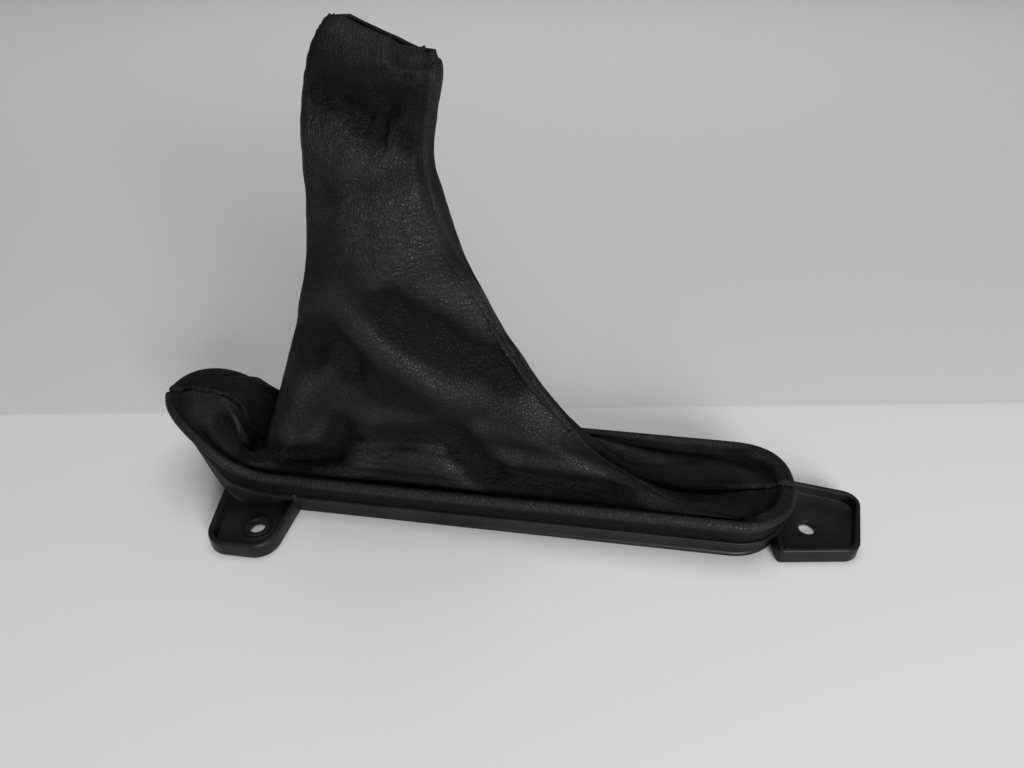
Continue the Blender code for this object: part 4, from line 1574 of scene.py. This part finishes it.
def painted_light_zones() -> tuple[PaintedLightZone, ...]:
    """Where highlight and shade are painted into the leather's colour, at the stretches seen lit and dark
    on the real trim.

    Returns:
        The zones of both panels.
    """
    return (
        # Positive gains paint highlights on lit stretches, negative gains paint shade in dark valleys and
        # hollows.
        PaintedLightZone(((86, -11, 132), (90, -13, 112), (98, -13, 100)), 13.0, 0.55),
        PaintedLightZone(((106, -9, 112), (118, -9, 84), (136, -8, 58), (160, -8, 32)), 8.0, 0.55),
        PaintedLightZone(((84, -6, 165), (104, -6, 158)), 3.0, 0.3),
        PaintedLightZone(((62, -8, 78), (54, -10, 50), (46, -12, 32)), 4.0, 0.3),
        PaintedLightZone(((78, -9, 157), (92, -9, 152), (104, -9, 147)), 6.5, -0.5),
        PaintedLightZone(((64, -12, 68), (76, -12, 70)), 7.0, -0.25),
        PaintedLightZone(((92, -14, 88), (112, -13, 70), (126, -12, 60)), 6.0, -0.25),
        PaintedLightZone(((84, -14, 52), (104, -14, 44), (120, -13, 36)), 8.0, -0.25),
        PaintedLightZone(((45, -12, 24), (60, -13, 24), (70, -13, 30)), 6.0, -0.6),
        PaintedLightZone(((112, -14, 30), (126, -14, 22), (150, -14, 20), (172, -14, 17)), 5.0, -0.6),
        PaintedLightZone(((31, 8, 28), (32, 3, 19), (33, -6, 17)), 7.0, -0.9),
        PaintedLightZone(((24, -8, 31), (30, -11, 27), (34, -14.5, 23)), 2.5, -0.6),
        PaintedLightZone(((176, -4, 15), (196, 0, 14), (206, 1, 15)), 4.5, -0.6),
        PaintedLightZone(((170, 14, 15), (200, 14, 15)), 8.0, -0.3),
        PaintedLightZone(((15, 4, 37), (25, 6, 35)), 9.0, -0.2),
    )


def creases(seed: int, count: int, box: tuple[float, float, float, float], slant: float,
            length: float, depth: float, scatter: float) -> list[Fold]:
    """Short fine wrinkles strewn over a patch of the leather.

    Args:
        seed: Seed of the random draw.
        count: How many wrinkles.
        box: The patch, as its least x and z and its greatest x and z.
        slant: Mean direction of the wrinkles, in degrees above the horizontal.
        length: Mean length.
        depth: Mean depth.
        scatter: How far their directions differ, in degrees.

    Returns:
        The wrinkles.
    """
    draw = random.Random(seed)
    folds = []
    for _ in range(count):
        x, z = draw.uniform(box[0], box[2]), draw.uniform(box[1], box[3])
        angle = math.radians(slant + draw.gauss(0.0, scatter))
        half = length * draw.uniform(0.3, 0.7)
        bow = draw.uniform(-0.18, 0.18) * length
        ends = [(x + half * k * math.cos(angle) - bow * (1 - k * k) * math.sin(angle),
                 z + half * k * math.sin(angle) + bow * (1 - k * k) * math.cos(angle))
                for k in (-1.0, -0.4, 0.3, 1.0)]
        folds.append(Fold(tuple(ends), draw.uniform(0.55, 0.95), depth * draw.uniform(0.5, 1.2),
                          0.35, 1.4, 0.4))
    return folds


def near_folds() -> list[Fold]:
    """Folds of the near panel, as the photograph shows them.

    Returns:
        The folds, in the order in which they are pressed in.
    """
    return [
        Fold(((88, 124), (92, 108), (100, 96)), 15.0, -3.6, 0.0, 2.0, 0.3),
        Fold(((112, 100), (124, 78), (140, 52), (156, 34)), 8.0, -2.2, 0.0, 2.0, 0.3),
        Fold(((75, 149.5), (80, 147.3), (85, 146), (90, 143), (93, 142), (97, 143.5), (99.5, 141.5)),
             6.2, 3.4, 0.15, 2.0, 0.2),
        Fold(((75, 148.3), (79, 146.7), (84.7, 146), (89.2, 143.3), (91.2, 142.4), (94.7, 144.1),
              (97.5, 145.5), (99.5, 143.8)), 1.3, 0.9, 0.3, 1.4, 0.25),
        Fold(((86, 141), (92, 137), (99, 138), (104, 133)), 3.0, 0.9, 0.3, 1.6),
        Fold(((84, 134), (83, 120), (82, 106)), 3.2, -0.8, 0.2),
        Fold(((100, 163), (101.5, 159), (101, 155)), 1.6, 0.8, 0.3),
        Fold(((102.5, 159), (103.5, 156), (103, 152)), 1.6, 0.4, 0.2),
        Fold(((60, 68), (68, 72), (74, 75), (77, 68), (80, 58)), 6.5, 3.2, 0.2),
        Fold(((70, 79), (76, 74), (79, 68), (80, 61), (84, 55)), 1.3, 0.8, 0.35, 1.4),
        Fold(((73, 84), (84, 77), (93, 71), (99, 65), (106, 59), (113, 55)), 4.6, -2.2, 0.1),
        Fold(((88, 94), (96, 85), (106, 79), (114, 72), (122, 68), (131, 61), (138, 55)), 6.5, 3.6, 0.1),
        Fold(((94, 90), (100, 82), (108, 79), (113, 72.6), (121, 70.5), (129, 63.5)), 1.2, 0.6, 0.3, 1.4),
        Fold(((48, 30), (56, 44), (64, 62)), 4.0, -2.0, 0.1),
        Fold(((84, 62), (94, 54), (106, 46), (118, 42)), 6.0, 1.8, 0.1),
        Fold(((42, 23), (54, 22.5), (66, 26), (71, 34), (71, 48)), 5.5, 4.2, 0.1, 2.0, 0.35),
        Fold(((42, 21), (54, 20.6), (68, 23.5), (74, 30)), 2.6, 2.4, 0.1),
        Fold(((62, 27), (84, 28), (98, 28), (118, 25)), 7.5, -2.2, 0.1),
        Fold(((68, 38), (92, 41), (120, 39)), 6.5, 1.2, 0.1),
        Fold(((72, 36), (92, 38.4), (104, 37), (118, 38)), 1.3, 0.3, 0.35, 1.4),
        Fold(((76, 31), (94, 33), (111, 32)), 1.0, 0.5, 0.35, 1.4),
        Fold(((70, 22), (90, 21.5), (112, 21)), 1.3, 0.8, 0.35, 1.4),
        Fold(((109, 38), (118, 30), (126, 20)), 4.6, 3.4, 0.2),
        Fold(((118, 24), (140, 22), (160, 20.5), (174, 19)), 4.6, 4.8, 0.0, 2.0, 0.35),
        Fold(((24.5, -4.9), (27, -5.7), (30.2, -7.4), (33.5, -10), (37.4, -14.8)), 1.1, -0.9, 0.0, 2.0, 0.2,
             Seen.FROM_ABOVE),
        Fold(((20.5, -7.5), (25, -8.6), (29, -11), (33.5, -14.4)), 2.4, 1.9, 0.0, 2.0, 0.3,
             Seen.FROM_ABOVE),
        Fold(((172, -3), (188, -2.2), (202, -0.6), (212, 0.4)), 2.6, 1.8, 0.0, 2.0, 0.35, Seen.FROM_ABOVE),
        Fold(((136, 59), (141, 54)), 1.4, 0.5, 0.3, 1.5),
        *creases(3, 18, (78, 137, 98, 150), 12.0, 9.0, 0.26, 30.0),
        *creases(5, 20, (66, 20, 118, 40), 2.0, 15.0, 0.5, 9.0),
        *creases(8, 9, (98, 60, 136, 84), -36.0, 12.0, 0.25, 16.0),
        *creases(9, 8, (64, 58, 92, 84), -48.0, 10.0, 0.25, 16.0),
    ]


def far_folds() -> list[Fold]:
    """Folds of the hidden far panel.

    Returns:
        The folds, in the order in which they are pressed in.
    """
    return [
        Fold(((74, 133), (90, 130), (106, 129)), 7.0, 2.2, 0.25),
        Fold(((72, 82), (88, 72), (108, 58)), 5.5, 2.2, 0.25),
        Fold(((58, 36), (80, 34), (104, 30)), 5.5, 2.6, 0.25),
        Fold(((96, 86), (112, 72), (128, 56)), 5.0, -1.6, 0.2),
        Fold(((62, 58), (66, 44), (62, 30)), 4.5, 1.8, 0.2),
    ]


def main() -> None:
    """Build the dressed trim and its studio."""
    logging.basicConfig(level=logging.INFO, format="%(name)s: %(message)s")
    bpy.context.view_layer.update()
    Studio().build()
    rim = Rim()
    leather = LeatheretteFinish().material()
    plastic = MouldedFinish().material()

    ring = FrameRing(rim)
    side_tray = ScrewTray(((23.0, -16.2, 0.0), (27.0, -43.0, 8.0), (50.5, -43.0, 8.0), (52.5, -17.7, 0.0)),
                          (41.0, -30.8), ring.core(), 0.8)
    end_tray = ScrewTray(((223.0, -19.8, 1.5), (250.4, -15.6, 6.0), (256.1, 12.3, 6.0), (219.0, 18.0, 1.5)),
                         (235.3, -3.7), ring.core())
    pins = (((51.6, -20.1), 0.8, 5.5, 9.6), ((225.6, -18.4), 1.0, 5.0, 6.25))
    frame = BaseFrame(ring, [side_tray, end_tray], pins, plastic).piece()
    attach(frame, "root")
    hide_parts("base_frame")
    LOG.info("frame_moulding: %d faces", len(frame.data.polygons))

    shape = GaiterShape(rim, Tent(rim), folds={Side.NEAR: near_folds(), Side.FAR: far_folds()},
                        zones=painted_light_zones())
    gaiter = Gaiter(shape, leather)
    for side, node in ((Side.NEAR, "gaiter_near_panel"), (Side.FAR, "gaiter_far_panel")):
        panel = gaiter.panel(side)
        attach(panel, "root")
        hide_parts(node)
        area = sum(face.area for face in panel.data.polygons) / 2
        LOG.info("%s: %d faces, %.4f square metres", panel.name, len(panel.data.polygons), area)


if __name__ == "__main__":
    main()
